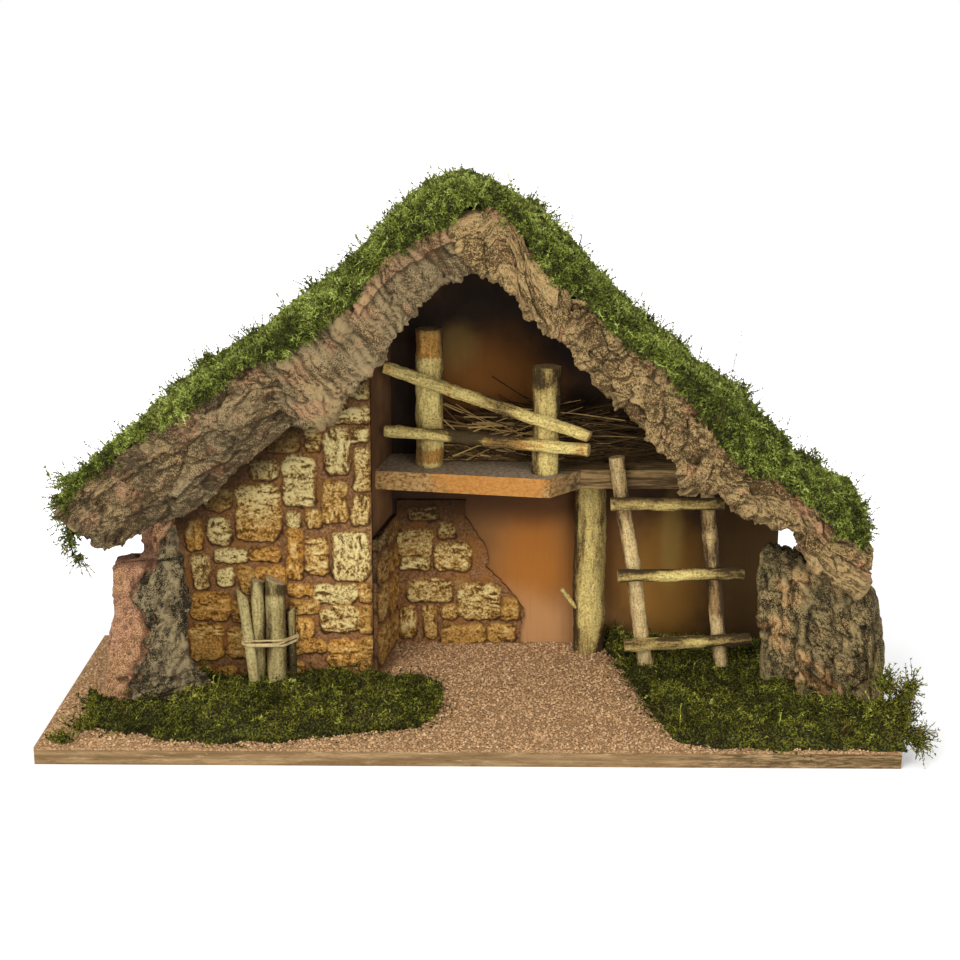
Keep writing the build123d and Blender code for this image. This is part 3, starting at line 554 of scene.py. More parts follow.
slabCorners = (0, 0.08, 0.66, 0.80, 1)  # shares of the way round a slab's section: top, front, bottom, back
frontMiddle = 0.36  # the middle of its front
barkDefaults = {"steps": 3, "cap": 4, "roundness": 0.34, "ragged": 2.6, "shade": 0.0, "dim": 0.0,
                "knobs": (), "warmSpots": (), "paleEnd": (0, 1, 0), "split": None}


def onSlope(side, distance, depth):
    # Across and up: a distance down a slope from the ridge and a depth square to it
    pitch = math.radians(roof["pitch"][side])
    x = roof["ridgeX"] + side * (distance * math.cos(pitch) - depth * math.sin(pitch))
    z = roof["ridgeZ"] - distance * math.sin(pitch) - depth * math.cos(pitch)
    return x, z


def slabSurface(topRail, lowRail, outward, thickness, grid, look):
    # Between two rails a closed section runs top, front, bottom, back. On the square from -1 to 1 its corners
    # are drawn in by sqrt(1 - k t^2 / 2), and both ends close like a quarter circle over the cap's length
    rows, columns = grid
    roundness = look["roundness"]
    middle = (topRail + lowRail) / 2
    steps = np.linalg.norm(np.diff(middle, axis=0), axis=1)
    reach = np.concatenate([[0], np.cumsum(steps)])
    distance = np.linspace(0.4, reach[-1] - 0.4, rows)
    top, low = [np.stack([np.interp(distance, reach, rail[:, axis]) for axis in range(3)], -1)
                for rail in (topRail, lowRail)]
    loop = np.arange(columns) / columns
    down = 2 * np.interp(loop, slabCorners, (0, 0, 1, 1, 0)) - 1
    out = 2 * np.interp(loop, slabCorners, (0, 1, 1, 0, 0)) - 1
    downRound = down * np.sqrt(1 - roundness * out ** 2 / 2)
    outRound = out * np.sqrt(1 - roundness * down ** 2 / 2)
    closing = np.clip(np.minimum(distance, reach[-1] - distance) / look["cap"], 0, 1)
    closing = np.sqrt(1 - (1 - closing) ** 2)[:, None, None]
    centre = (top + low)[:, None] / 2
    half = (low - top)[:, None] / 2
    section = half * downRound[None, :, None] + outward * outRound[None, :, None] * thickness / 2
    points = centre + closing * section
    depth = np.linalg.norm(low - top, axis=1)[:, None] * (down[None] + 1) / 2
    places = np.stack([np.broadcast_to(distance[:, None], depth.shape), depth,
                       np.broadcast_to(out[None] * thickness / 2, depth.shape)], -1)
    return points, places, np.stack([middle[0], middle[-1]])


def surfaceNormals(points, wrapped=True):
    # Cross product of the steps along the two directions of the grid
    alongRows = np.gradient(points, axis=0)
    if wrapped:
        alongColumns = np.roll(points, -1, axis=1) - np.roll(points, 1, axis=1)
    else:
        alongColumns = np.gradient(points, axis=1)
    return unit(np.cross(alongColumns, alongRows))


def hollows(height, reach):
    # How far each point lies under the mean of a square of its neighbours
    mean = height
    for axis in (0, 1):
        mean = sum(np.roll(mean, step, axis) for step in range(-reach, reach + 1)) / (2 * reach + 1)
    return mean - height


def barkRelief(places, look):
    # Flakes: a swaying fractal noise cut into steps with steep fronts. Ridges: the size of a sine along the
    # board, bent by noise. Plates are tilted planes with gaps between them. Cracks follow the zeros of a
    # noise, and crumbs of cork are each highest over their own spot
    seed = look["seed"]
    swayed = places + 2.5 * sway(places, 8, seed + 11)
    level = fractal(swayed, look["plate"], seed, 5) * look["steps"]
    part = level - np.floor(level)
    flakes = (np.floor(level) + ease(part, 0.5, 0.95)) / look["steps"]
    period, tall = look["ridges"]
    bent = places[..., 0] + period * fractal(places, (22, 46, 30), seed + 5)
    bent = bent + 0.25 * period * noise(places, 5, seed + 6)
    ridge = np.abs(np.sin(np.pi * bent / period)) - 0.6
    torn = swayed + 1.2 * sway(places, 3, seed + 31)
    _, plane, tone, edge = plates(torn, look["chunk"], seed + 50)
    _, small, smallTone, smallEdge = plates(torn, np.asarray(look["chunk"]) * 0.42, seed + 60)
    gaps = ease(edge, 0.1, 0.0) * ease(noise(places, 16, seed + 3), -0.3, 0.4)
    gaps = np.maximum(gaps, 0.35 * ease(smallEdge, 0.12, 0.0))
    cracks = ease(np.abs(noise(swayed, look["crack"], seed + 15)), 0.1, 0.0)
    cracks = cracks * ease(noise(places, 19, seed + 3), -0.1, 0.4)
    crumb = plates(places, 2.4, seed + 17)[0]
    height = look["depth"] * flakes + look["lumps"] * fractal(places, 27, seed + 1) + tall * ridge
    height += look["chunkTall"] * (plane + 0.35 * small)
    height += 0.7 * (0.5 - crumb) + 0.4 * noise(places, 1.5, seed + 9)
    height -= look["crackDepth"] * np.maximum(cracks, 0.7 * gaps)
    # The crevice value is painted shade in hollows, cracks and plate gaps, and painted highlight where it is
    # below zero on what stands out; the look's shade raises it over a whole board
    shadeAndHighlight = 0.5 * hollows(height, 2) + 0.4 * hollows(height, 6) + look["shade"]
    crevice = np.clip(np.maximum(shadeAndHighlight, np.maximum(0.62 * cracks, 0.45 * gaps)), -1, 1)
    return height, crevice, 0.6 * tone + 0.4 * smallTone - look["dim"]


def patches(places, spots):
    # 1 at the middle of each named spot (distance along, depth, radius), 0 past its radius
    total = np.zeros(places.shape[:-1])
    for distance, depth, radius in spots:
        away = np.hypot(places[..., 0] - distance, places[..., 1] - depth)
        total = np.maximum(total, 1 - away / radius)
    return total


def barkBoard(name, rails, outward, thickness, look, cover, grid):
    # The slab pushed out along its own normals by its relief. A split is a step down along a wandering line
    look = {**barkDefaults, **look}
    seed = look["seed"]
    points, places, ends = slabSurface(*rails, outward, thickness, grid, look)
    normals = surfaceNormals(points)
    turned = np.sign((normals[:, int(frontMiddle * grid[1])] @ outward).sum())
    normals = turned * normals
    distance = places[..., 0]
    share = places[..., 1] / places[..., 1].max(1, keepdims=True)
    height, crevice, tone = barkRelief(places, look)
    height += 5 * ease(patches(places, look["knobs"]), 0, 0.8)
    start, end, pale = look["paleEnd"]
    tone = tone + pale * ease(distance, start, end)
    grey = ease(fractal(places, 24, seed + 20), *look["greyRange"])
    warm = ease(patches(places, look["warmSpots"]) + 0.6 * fractal(places, 8, seed + 25), 0.15, 0.6)
    warm = np.maximum(warm, ease(fractal(places, 15, seed + 26), *look["warmRange"]))
    if look["split"]:
        middle, step, start, end, warmAbove = look["split"]
        line = middle + 0.12 * noise(places, (26, 900, 900), seed + 30)
        line = line + 0.05 * noise(places, (6, 900, 900), seed + 31)
        held = ease(distance, start, start + 12) * ease(distance, end, end - 12)
        below = ease(share, line - 0.02, line + 0.03) * held
        height -= step * below
        # Painted shade along the split's step
        crevice = np.maximum(crevice, 0.75 * held * np.exp(-((share - line) / 0.016) ** 2))
        grey = np.maximum(grey, 0.8 * below)
        tone = tone - 0.3 * below
        warm = np.maximum(warm, held * (1 - below) * warmAbove)
    height += look["ragged"] * fractal(places, (6, 9, 9), seed + 40) * ease(share, 0.78, 1.0)
    height = np.where(height > 0, height * (0.2 + 0.8 * ease(share, 0.0, 0.16)), height)
    lifted = points + normals * height[..., None]
    # Painted light: the tone is raised where the relief turns a face upward and lowered where it turns one
    # down
    upwardLight = (surfaceNormals(lifted) - surfaceNormals(points))[..., 2] * turned
    tone = tone + 0.9 * np.clip(upwardLight, -0.8, 0.8)
    warm = 0.75 * warm * (1 - 0.6 * np.maximum(crevice, 0))
    values = {"crevice": crevice, "grey": grey, "warm": warm, "tone": tone}
    putTube(name, lifted, ends, cover, values, dict.fromkeys(values, (0.3, 0.3)))


def slopeRails(side, top, low):
    # Along the moss line and along the lower edge, each from one distance down the slope to another
    rails = []
    for (start, end), edge, tuck in ((top, "mossLine", fascia["tuck"]), (low, "lowEdge", 0)):
        places = np.linspace(start, end, 80)
        x, z = onSlope(side, places, along(fascia[edge][side], places) - tuck)
        rails.append(np.stack([x, np.full_like(x, fascia["middle"]), z], -1))
    return rails


def ridgeRails():
    rails = []
    for table in (fascia["ridgeTop"], fascia["ridgeLow"]):
        table = np.asarray(table, float)
        places = np.linspace(0, 1, len(table))
        x, z = [np.interp(np.linspace(0, 1, 80), places, column) for column in table.T]
        rails.append(np.stack([x, np.full_like(x, fascia["middle"]), z], -1))
    return rails


fasciaLooks = {  # a split: share of the depth, step, from and to along the board, warmth above it
    "bark_left_upper": (slopeRails(-1, (14, 152), (14, 152)), "corkLeft", {
        "seed": 101, "plate": (12, 26, 14), "ridges": (6.0, 1.8), "crack": (12, 60, 14), "crackDepth": 1.6,
        "lumps": 2.6, "depth": 1.8, "chunk": (9, 34, 20), "chunkTall": 1.5, "shade": -0.02, "dim": -0.3,
        "greyRange": (-0.45, 0.2), "warmRange": (0.5, 0.9), "split": (0.36, 3.0, -12, 78, 0.7),
        "knobs": ((126, 42, 15), (106, 20, 14), (88, 12, 10)),
        "warmSpots": ((70, 6, 11), (96, 12, 9), (128, 38, 12), (118, 12, 12))}),
    "bark_left_lower": (slopeRails(-1, (144, 296), (144, 298)), "corkLeft", {
        "seed": 211, "plate": (22, 15, 12), "ridges": (23.0, 0.6), "crack": (24, 13, 12), "crackDepth": 1.8,
        "lumps": 3.4, "depth": 3.4, "chunk": (19, 14, 16), "chunkTall": 2.3, "shade": 0.38, "dim": 0.4,
        "greyRange": (-0.2, 0.35), "warmRange": (0.15, 0.55), "split": (0.72, 4.0, 4, 128, 0),
        "knobs": ((10, 16, 14), (40, 26, 14), (129, 14.5, 11)),
        "warmSpots": ((10, 8, 13), (60, 10, 12), (112, 24, 14), (140, 20, 10))}),
    "bark_ridge": (ridgeRails(), "corkRight", {
        "seed": 307, "plate": (17, 15, 12), "ridges": (14.0, 0.6), "crack": (16, 22, 10), "crackDepth": 1.6,
        "lumps": 2.8, "depth": 2.6, "chunk": (19, 16, 16), "chunkTall": 1.8, "shade": 0.14,
        "greyRange": (0.0, 0.6), "warmRange": (0.5, 0.9),
        "warmSpots": ((28, 4, 9), (84, 26, 10), (36, 6, 7))}),
    "bark_right_middle": (slopeRails(1, (86, 215), (86, 215)), "corkRight", {
        "seed": 421, "plate": (13, 15, 12), "ridges": (12.0, 0.7), "crack": (14, 16, 10), "crackDepth": 2.0,
        "lumps": 3.2, "depth": 3.2, "chunk": (13, 14, 14), "chunkTall": 2.3, "shade": 0.32, "dim": 0.12,
        "greyRange": (0.2, 0.8), "warmRange": (0.45, 0.9),
        "knobs": ((120, 32, 10), (12, 22, 10)), "warmSpots": ((92, 6, 8), (116, 28, 8))}),
    "bark_right_lower": (slopeRails(1, (207, 319), (207, 330)), "corkRight", {
        "seed": 523, "plate": (24, 9, 12), "ridges": (30.0, 0.4), "crack": (30, 7, 10), "crackDepth": 1.8,
        "lumps": 3.0, "depth": 3.2, "chunk": (24, 9, 14), "chunkTall": 2.0, "shade": 0.4, "dim": 0.4,
        "greyRange": (0.1, 0.7), "warmRange": (0.3, 0.8), "ragged": 3.2, "paleEnd": (56, 92, 0.95),
        "warmSpots": ((58, 6, 14), (80, 6, 14), (42, 4, 10), (112, 12, 6))}),
}
for node, (rails, finishKey, look) in fasciaLooks.items():
    barkBoard(node + "_cork", rails, toFront, fascia["thickness"], look, (finishKey, "cork_bark", (node,)),
              fascia["grid"])
print("bark fascia made")

# Bark stumps under the eaves

rightStump = {
    "right": (250, -33), "turn": 26, "length": 79.5, "foot": 70, "floor": 9.4, "thickness": 17,
    "grid": (150, 190),
    "top": ((0, 50), (3, 60), (6, 78), (9, 87), (14, 91), (26, 96), (39, 101), (54, 107), (63, 108),
            (72, 108.5), (79.5, 107)),
    "look": {
        "seed": 631, "plate": (9, 26, 12), "steps": 5, "ridges": (11.0, 2.2), "crack": (30, 7, 12),
        "crackDepth": 1.6, "lumps": 3.4, "depth": 4.0, "chunk": (8, 19, 14), "chunkTall": 2.0, "shade": 0.15,
        "greyRange": (-0.3, 0.3), "warmRange": (0.5, 0.85), "cap": 2, "ragged": 0.0,
        "warmSpots": ((73, 22, 9), (62, 14, 9), (77, 50, 9), (48, 84, 10), (47, 70, 9), (36, 74, 8),
                      (40, 88, 9), (66, 88, 7), (60, 66, 9), (58, 80, 10), (76, 62, 9), (70, 30, 8),
                      (63, 26, 8), (16, 82, 6))},
}
leftStump = {  # edges and fold: up, across
    "middleY": -22, "thickness": 15, "floor": 9.4, "top": 134, "grid": (190, 150),
    "left": ((9, -224.5), (26, -222), (42, -219), (62, -217), (84, -215), (100, -213.5), (103, -212),
             (104, -200), (105, -196), (121, -195), (128, -191), (134, -184)),
    "right": ((9, -157), (22, -158), (30, -163), (36, -167), (43, -171), (50, -172), (62, -172), (69, -171),
              (73, -168), (77, -168), (84, -170), (96, -171), (107, -173), (117, -174), (124, -175.5),
              (134, -176)),
    "fold": ((9, -208), (26, -205), (42, -199), (53, -195), (71, -199), (85, -202), (96, -195), (107, -187),
             (124, -177)),
    "look": {"seed": 733, "plate": (17, 10, 12), "steps": 4, "ridges": (19.0, 1.4), "crack": (26, 9, 10),
             "crackDepth": 1.6, "lumps": 3.2, "depth": 4.0, "chunk": (22, 9, 12), "chunkTall": 0.9, "cap": 3,
             "roundness": 0.3, "shade": 0.28},
}


def rightStumpPiece():
    turn = math.radians(rightStump["turn"])
    distance = np.linspace(0, rightStump["length"], 60)
    top = along(rightStump["top"], distance)
    floor = rightStump["floor"] + 0 * distance
    rails = []
    for reach, z in ((1.0, top), (rightStump["foot"] / rightStump["length"], floor)):
        x = rightStump["right"][0] - reach * distance * math.cos(turn)
        y = rightStump["right"][1] + reach * distance * math.sin(turn)
        rails.append(np.stack([x, y, z], -1))
    outward = np.array([-math.sin(turn), -math.cos(turn), 0])
    barkBoard("stump_right_bark", rails, outward, rightStump["thickness"], rightStump["look"],
              ("stumpRight", "dark_bark", ("bark_stump_right",)), rightStump["grid"])


def leftStumpPiece():
    # Pale inner cork with pits and grooves on its left half, folded against grey outer bark on its right
    look = {**barkDefaults, **leftStump["look"]}
    seed = look["seed"]
    grid = leftStump["grid"]
    up = np.linspace(leftStump["floor"], leftStump["top"], 120)
    rails = [np.stack([along(leftStump[side], up), np.full_like(up, leftStump["middleY"]), up], -1)
             for side in ("left", "right")]
    points, places, ends = slabSurface(*rails, toFront, leftStump["thickness"], grid, look)
    normals = surfaceNormals(points)
    if normals[:, int(frontMiddle * grid[1]), 1].mean() > 0:
        normals = -normals
    x, z = points[..., 0], points[..., 2]
    across = x - along(leftStump["fold"], z) - 2.5 * noise(places, (7, 900, 900), seed + 8)
    outer = ease(across, -1.2, 1.2)
    roughHeight, roughCrevice, tone = barkRelief(places, look)
    pits = ease(noise(places, (6, 4, 5), seed + 17), 0.42, 0.7) * ease(across, -22, -4)
    grooves = ease(np.abs(noise(places, (34, 6, 9), seed + 19)), 0.1, 0.0)
    grooves = grooves * ease(noise(places, 15, seed + 20), 0.0, 0.4)
    plainHeight = 2.0 * fractal(places, 20, seed + 14) + 1.1 * noise(places, 4, seed + 15)
    plainHeight += 0.6 * noise(places, 1.6, seed + 16) - 2.4 * pits - 1.2 * grooves
    plainCrevice = np.clip(1.0 * hollows(plainHeight, 2) + 0.6 * hollows(plainHeight, 6), -0.6, 1)
    plainCrevice = np.maximum(plainCrevice, np.maximum(0.9 * pits, 0.6 * grooves))
    seam = np.exp(-(across / 1.5) ** 2)
    ring = ease(np.sin((z - 0.3 * across) * 1.15), 0.5, 1.0) * ease(z, 40, 30) * outer
    torn = ease(z, 96, 103) * (1 - outer) * ease(x, -186, -192)
    height = plainHeight * (1 - outer) + (roughHeight - 0.6) * outer - 2.4 * seam - 1.2 * ring
    height -= 3.5 * torn * ease(noise(places, 6, seed + 28), -0.4, 0.4)
    # Painted shade: the crevice value is raised in hollows, pits, grooves, the seam, the rings and the torn
    # top; the stains are the cork's own marks, and the mouth near the top is painted dark through the same
    # value
    crevice = np.maximum(plainCrevice * (1 - outer) + roughCrevice * outer, 0.8 * seam)
    crevice = np.clip(np.maximum(np.maximum(crevice, 0.6 * ring), 0.65 * torn), -1, 1)
    stains = ease(noise(places, (8, 4, 5), seed + 38), 0.32, 0.55) * (1 - outer)
    mouth = ease(1 - np.hypot((x + 192) / 6.5, (z - 106) / 12), 0.0, 0.4)
    crevice = np.maximum(crevice, np.maximum(0.85 * stains, mouth))
    skin = ease(across + 4.0 * noise(places, 3.4, seed + 40), -0.9, 0.9) * (1 - mouth)
    warm = (1 - skin) * np.clip(ease(noise(places, 22, seed + 24), -0.4, 0.5) + torn, 0, 1)
    tone = tone * (0.3 + 1.2 * outer)
    tone = tone + outer * (0.45 * ease(z, 48, 28) + 0.8 * noise(places, 2.6, seed + 42))
    values = {"crevice": crevice, "grey": skin, "warm": warm, "tone": tone}
    putTube("stump_left_bark", points + normals * height[..., None], ends,
            ("stumpLeft", "dark_bark", ("bark_stump_left",)), values, dict.fromkeys(values, (0.3, 0.3)))


rightStumpPiece()
leftStumpPiece()
print("stumps made")

# Stone walls. Each stone: middle, height above the base, width, height. A letter each says its paint, and a 1
# that its strokes stand up

stonePaints = {  # orange share, share covered with cream
    "c": (0.4, 0.85), "m": (0.5, 0.62), "l": (0.15, 0.55), "h": (0.6, 0.3), "t": (0.9, 0.5), "o": (1.0, 0.0),
    # d is painted shade: the stones under the bark's edge, left without cream
    "b": (0.5, -0.1), "d": (0.2, 0.0), "v": (0.35, 0.44),
}
frontStones = {
    "node": "stone_wall", "seed": 811, "mirror": -1, "cell": 0.68, "rows": 300,
    "left": -186.0, "right": -61.5, "base": 9.0, "front": 21.2, "thickness": 8.3, "roofBoard": 6.0,
    "stones": (
        (6.5, 189, 11, 11), (17.5, 173, 33, 9), (6.5, 160, 10, 8), (20.5, 150, 15, 29), (35.5, 158, 8, 15),
        (54.5, 157, 20, 14), (5.5, 139, 9, 28), (44.5, 131, 20, 32), (66.5, 138, 17, 12), (22.5, 117, 15, 27),
        (6.5, 112, 11, 20), (70.5, 110, 27, 36), (95.5, 120, 17, 17), (111.5, 96, 9, 20), (95.5, 98, 13, 18),
        (48.5, 106, 8, 10), (48.5, 83, 9, 33), (36.5, 106, 8, 12), (13, 82, 23, 32), (34.5, 82, 14, 25),
        (88.5, 82, 20, 8), (67.5, 83, 19, 8), (108.5, 71, 10, 22), (92.5, 68, 10, 11), (79.5, 66, 9, 18),
        (63.5, 68, 18, 13), (45.5, 59, 16, 8), (23.5, 57, 27, 12), (4.5, 57, 7, 12), (103.5, 48, 24, 18),
        (43.5, 48, 19, 9), (20.5, 40, 25, 17), (4.8, 40, 7.5, 18), (45.5, 34, 15, 13), (106.5, 24, 20, 25),
        (40.5, 21, 22, 9), (80, 45, 16, 15), (62, 48, 12, 20), (84, 24, 18, 20), (65, 24, 14, 20),
        (19, 17, 20, 18), (4.8, 16, 7.5, 22), (60, 6, 30, 9), (100, 4, 24, 7)),
    "paints": "lcccmdmclhmtdoccohchcomcboochobmbooobobooboo",
    "standing": "00010000111001011110001000000000010001000000",
}
backStones = {
    "node": "back_stone_facing", "seed": 917, "edgeSeed": 911, "mirror": 1, "cell": 0.75, "columns": 118,
    "left": -49.0, "base": 9.0, "front": 79.2, "tall": 102.0, "thickness": 2.6,
    "edge": ((0, 84), (26, 84), (34, 80), (56, 60), (70, 58), (90, 46), (102, 44)),  # up, width
    "stones": (
        (17, 93, 20, 9), (12, 73, 24, 18), (33, 81, 11, 11), (37, 63, 24, 19), (12, 58, 19, 8),
        (22, 39, 30, 16), (55, 32, 28, 25), (35, 24, 9, 10), (7, 17, 10, 23), (22, 17, 9, 24),
        (44, 8, 30, 13), (76, 26, 11, 16), (70, 9, 18, 12)),
    "paints": "vvvvlvvhhhbbb",
    "standing": "0000000011000",
}
sideStones = {
    "node": "partition_stone_facing", "seed": 941, "mirror": 1, "cell": 1.0,
    "start": (-61.3, 21.6), "end": (-51.8, 79.0), "base": 9.0, "tall": 92.0, "lift": 2.4, "thickness": 2.2,
    "stones": ((14, 88, 26, 7), (44, 85, 28, 12), (16, 70, 28, 19), (46, 66, 26, 15), (15, 46, 27, 21),
               (45, 42, 27, 24), (17, 18, 30, 26), (47, 16, 26, 20)),
    "paints": "lbhohobb",
    "standing": "00000000",
}


def stoneRelief(x, z, layout):
    # Height over the mortar: each stone is the signed distance to a rounded rectangle with a wandering edge
    seed = layout["seed"]
    flat = np.stack([x, z, np.zeros_like(x)], -1)
    wander = 1.1 * noise(flat, 6, seed) + 0.8 * noise(flat, 2.4, seed + 1)
    bent = flat + 2.0 * sway(flat, 9, seed + 21)
    bold = 0.7 + 0.6 * noise(flat, 8, seed + 14)
    lying = bold * (0.8 * noise(bent, (5, 1.6, 5), seed + 7) + 0.6 * noise(flat, (2.2, 1.0, 5), seed + 8))
    upright = bold * (0.8 * noise(bent, (1.6, 5, 5), seed + 9) + 0.6 * noise(flat, (1.0, 2.2, 5), seed + 10))
    best = np.full(x.shape, -9.0)
    values = {key: np.zeros(x.shape) for key in ("orange", "cream", "stroke", "foot")}
    for stone, letter, standing in zip(layout["stones"], layout["paints"], layout["standing"]):
        across, up, width, tall = stone
        corner = 0.26 * min(width, tall)
        dx = np.abs(x - layout["mirror"] * across) - width / 2 + corner
        dz = np.abs(z - up) - tall / 2 + corner
        inside = corner - np.hypot(np.maximum(dx, 0), np.maximum(dz, 0)) - np.minimum(np.maximum(dx, dz), 0)
        inside = inside + wander + 0.6
        mine = inside > best
        best = np.where(mine, inside, best)
        orange, cream = stonePaints[letter]
        rise = np.clip((z - up) / tall + 0.5, 0, 1)
        fall = 0.9 if letter == "t" else 0.15  # how much more cream there is at a stone's head
        stroke = upright if standing == "1" else lying
        own = {"orange": orange, "cream": cream + fall * (rise - 0.5), "stroke": stroke, "foot": 1 - rise}
        values = {key: np.where(mine, own[key], numbers) for key, numbers in values.items()}
    foot = values.pop("foot")
    values["mortar"] = 1 - ease(best, -0.3, 0.4)
    # The rim is painted shadow along each stone's edge, stronger at its foot
    values["rim"] = np.exp(-((best + 0.3) / 0.8) ** 2) * (0.2 + 0.8 * ease(foot, 0.3, 0.9))
    values["cream"] = values["cream"] - 0.55 * ease(best, 2.0, 0.2)
    values["mortarLift"] = 0.6 * fractal(flat, 14, seed + 12)
    rough = 0.3 * noise(flat, 1.5, seed + 4) + 0.3 * noise(flat, 2.9, seed + 5)
    dome = 0.75 * ease(best, -0.4, 0.9) + 0.25 * ease(best, 0.5, 5)
    height = 2.1 * dome + rough + 0.4 * fractal(flat, 9, seed + 6) + 0.45 * values["stroke"] * dome
    return height, values


def stonePiece(name, points, x, z, layout, outward, paintedShade):
    # The front sheet pushed out by the stones, its edge drawn back to one flat rear face
    height, values = stoneRelief(x, z, layout)
    rim = np.zeros(x.shape, bool)
    rim[0], rim[-1], rim[:, 0], rim[:, -1] = True, True, True, True
    height = np.where(rim, np.minimum(height, 1.0), height)
    front = points + outward * height[..., None]
    rows, columns = x.shape
    index = np.arange(rows * columns).reshape(rows, columns)
    border = np.concatenate([index[0, :-1], index[:-1, -1], index[-1, :0:-1], index[:0:-1, 0]])
    behind = points.reshape(-1, 3)[border] - outward * layout["thickness"]
    ring = rows * columns + np.arange(len(border))
    sides = np.stack([border, ring, np.roll(ring, -1), np.roll(border, -1)], -1)
    faceSets = [gridFaces(rows, columns, False), sides, ring[None, ::-1]]
    if np.dot(surfaceNormals(front, False)[rows // 2, columns // 2], outward) > 0:
        faceSets[0] = faceSets[0][:, ::-1]
    values["paintedShade"] = paintedShade
    values = {key: np.concatenate([numbers.ravel(), numbers.ravel()[border]])
              for key, numbers in values.items()}
    putPiece(name, np.concatenate([front.reshape(-1, 3), behind]), faceSets,
             ("stones", "carved_stones", (layout["node"],)), values)


def frontWall():
    # Across from the house's left end to the partition, up from the base to the left slope's underside
    left, right, base = frontStones["left"], frontStones["right"], frontStones["base"]
    x = np.linspace(left, right, int((right - left) / frontStones["cell"]))
    pitch = math.radians(roof["pitch"][-1])
    top = roof["ridgeZ"] - frontStones["roofBoard"] / math.cos(pitch) - (roof["ridgeX"] - x) * math.tan(pitch)
    z = base + np.linspace(0, 1, frontStones["rows"])[:, None] * (top - base)
    x = np.broadcast_to(x, z.shape)
    points = np.stack([x, np.full_like(z, frontStones["front"]), z], -1)
    # Painted shadow below the bark boards, and painted shade high under the roof
    paintedShade = np.maximum(0.86 * ease(top[None] - z, 84, 57), 0.55 * ease(z, 175, 215))
    stonePiece("stone_wall_relief", points, x - right, z - base, frontStones, toFront, paintedShade)


def backFacing():
    # Up from the base; its right edge breaks off in steps of noise
    tall = backStones["tall"]
    z = np.linspace(0, tall, int(tall / backStones["cell"]))
    wobble = np.stack([z, 0 * z, 0 * z], -1)
    seed = backStones["edgeSeed"]
    edge = along(backStones["edge"], z) + 1.8 * noise(wobble, 7, seed) + 0.9 * noise(wobble, 2, seed + 1)
    x = np.linspace(0, 1, backStones["columns"])[None] * edge[:, None]
    z = np.broadcast_to(z[:, None], x.shape)
    y = np.full_like(x, backStones["front"])
    points = np.stack([backStones["left"] + x, y, backStones["base"] + z], -1)
    # Painted shadow under the loft at the top
    stonePiece("back_stone_relief", points, x, z, backStones, toFront, 0.9 * ease(z, 58, 102))


def sideFacing():
    # On the slanting partition, from the stone wall's front corner to the back wall
    start, end = np.array(sideStones["start"]), np.array(sideStones["end"])
    run = np.linalg.norm(end - start)
    east, north = (end - start) / run
    outward = np.array([north, -east, 0])
    sizes = (run, sideStones["tall"])
    x, z = np.meshgrid(*[np.linspace(0, size, int(size / sideStones["cell"])) for size in sizes])
    points = np.stack([start[0] + east * x, start[1] + north * x, sideStones["base"] + z], -1)
    points = points + outward * sideStones["lift"]
    # Painted shade over the whole facing, deeper up high
    stonePiece("partition_stone_relief", points, x, z, sideStones, outward, 0.25 + 0.4 * ease(z, 50, 95))


frontWall()
backFacing()
sideFacing()
print("stone walls made")

# Branches: each from the middle of one end to the other, with its radius

branches = {
    "loft_post_left": ((-26.04, 53.41, 142.0), (-26.04, 53.41, 230.0), 8.75),
    "loft_post_right": ((47.07, 35.86, 142.0), (47.07, 35.86, 210.0), 8.75),
    "support_post": ((78.84, 70.0, 9.0), (78.84, 70.0, 130.0), 10.3),
    "rail_upper": ((-54.04, 47.38, 206.54), (73.07, 16.86, 170.03), 3.9),
    "rail_lower": ((-54.04, 47.38, 165.96), (73.07, 16.86, 161.61), 3.9),
    "ladder_stile_left": ((114.38, 30.1, 10.5), (91.79, 37.63, 152.0), 4.75),
    "ladder_stile_right": ((163.21, 30.1, 10.5), (148.9, 36.78, 136.0), 4.75),
    "ladder_rung_bottom": ((98.97, 22.31, 31.27), (179.38, 22.57, 36.15), 4.0),
    "ladder_rung_middle": ((93.69, 24.75, 77.21), (173.39, 24.87, 79.52), 4.0),
    "ladder_rung_top": ((88.26, 27.24, 123.93), (159.21, 27.27, 124.58), 4.0),
}
sticks = {
    "bundle_stick_thick": ((-121.5, 6.6, 10.5), (-122.0, 13.6, 77.5), 6.25),
    "bundle_stick_middle": ((-133.2, 8.6, 10.5), (-133.2, 15.6, 76.5), 4.25),
    "bundle_stick_split": ((-133.5, -5.4, 10.5), (-143.5, 16.6, 67.5), 3.25),
    "bundle_stick_pale": ((-112.2, 13.1, 10.5), (-112.8, 17.1, 56.5), 2.75),
}
twig = ((70.0, 63.0, 42.0), (60.0, 60.5, 56.0), 1.5)  # a stub on the support post
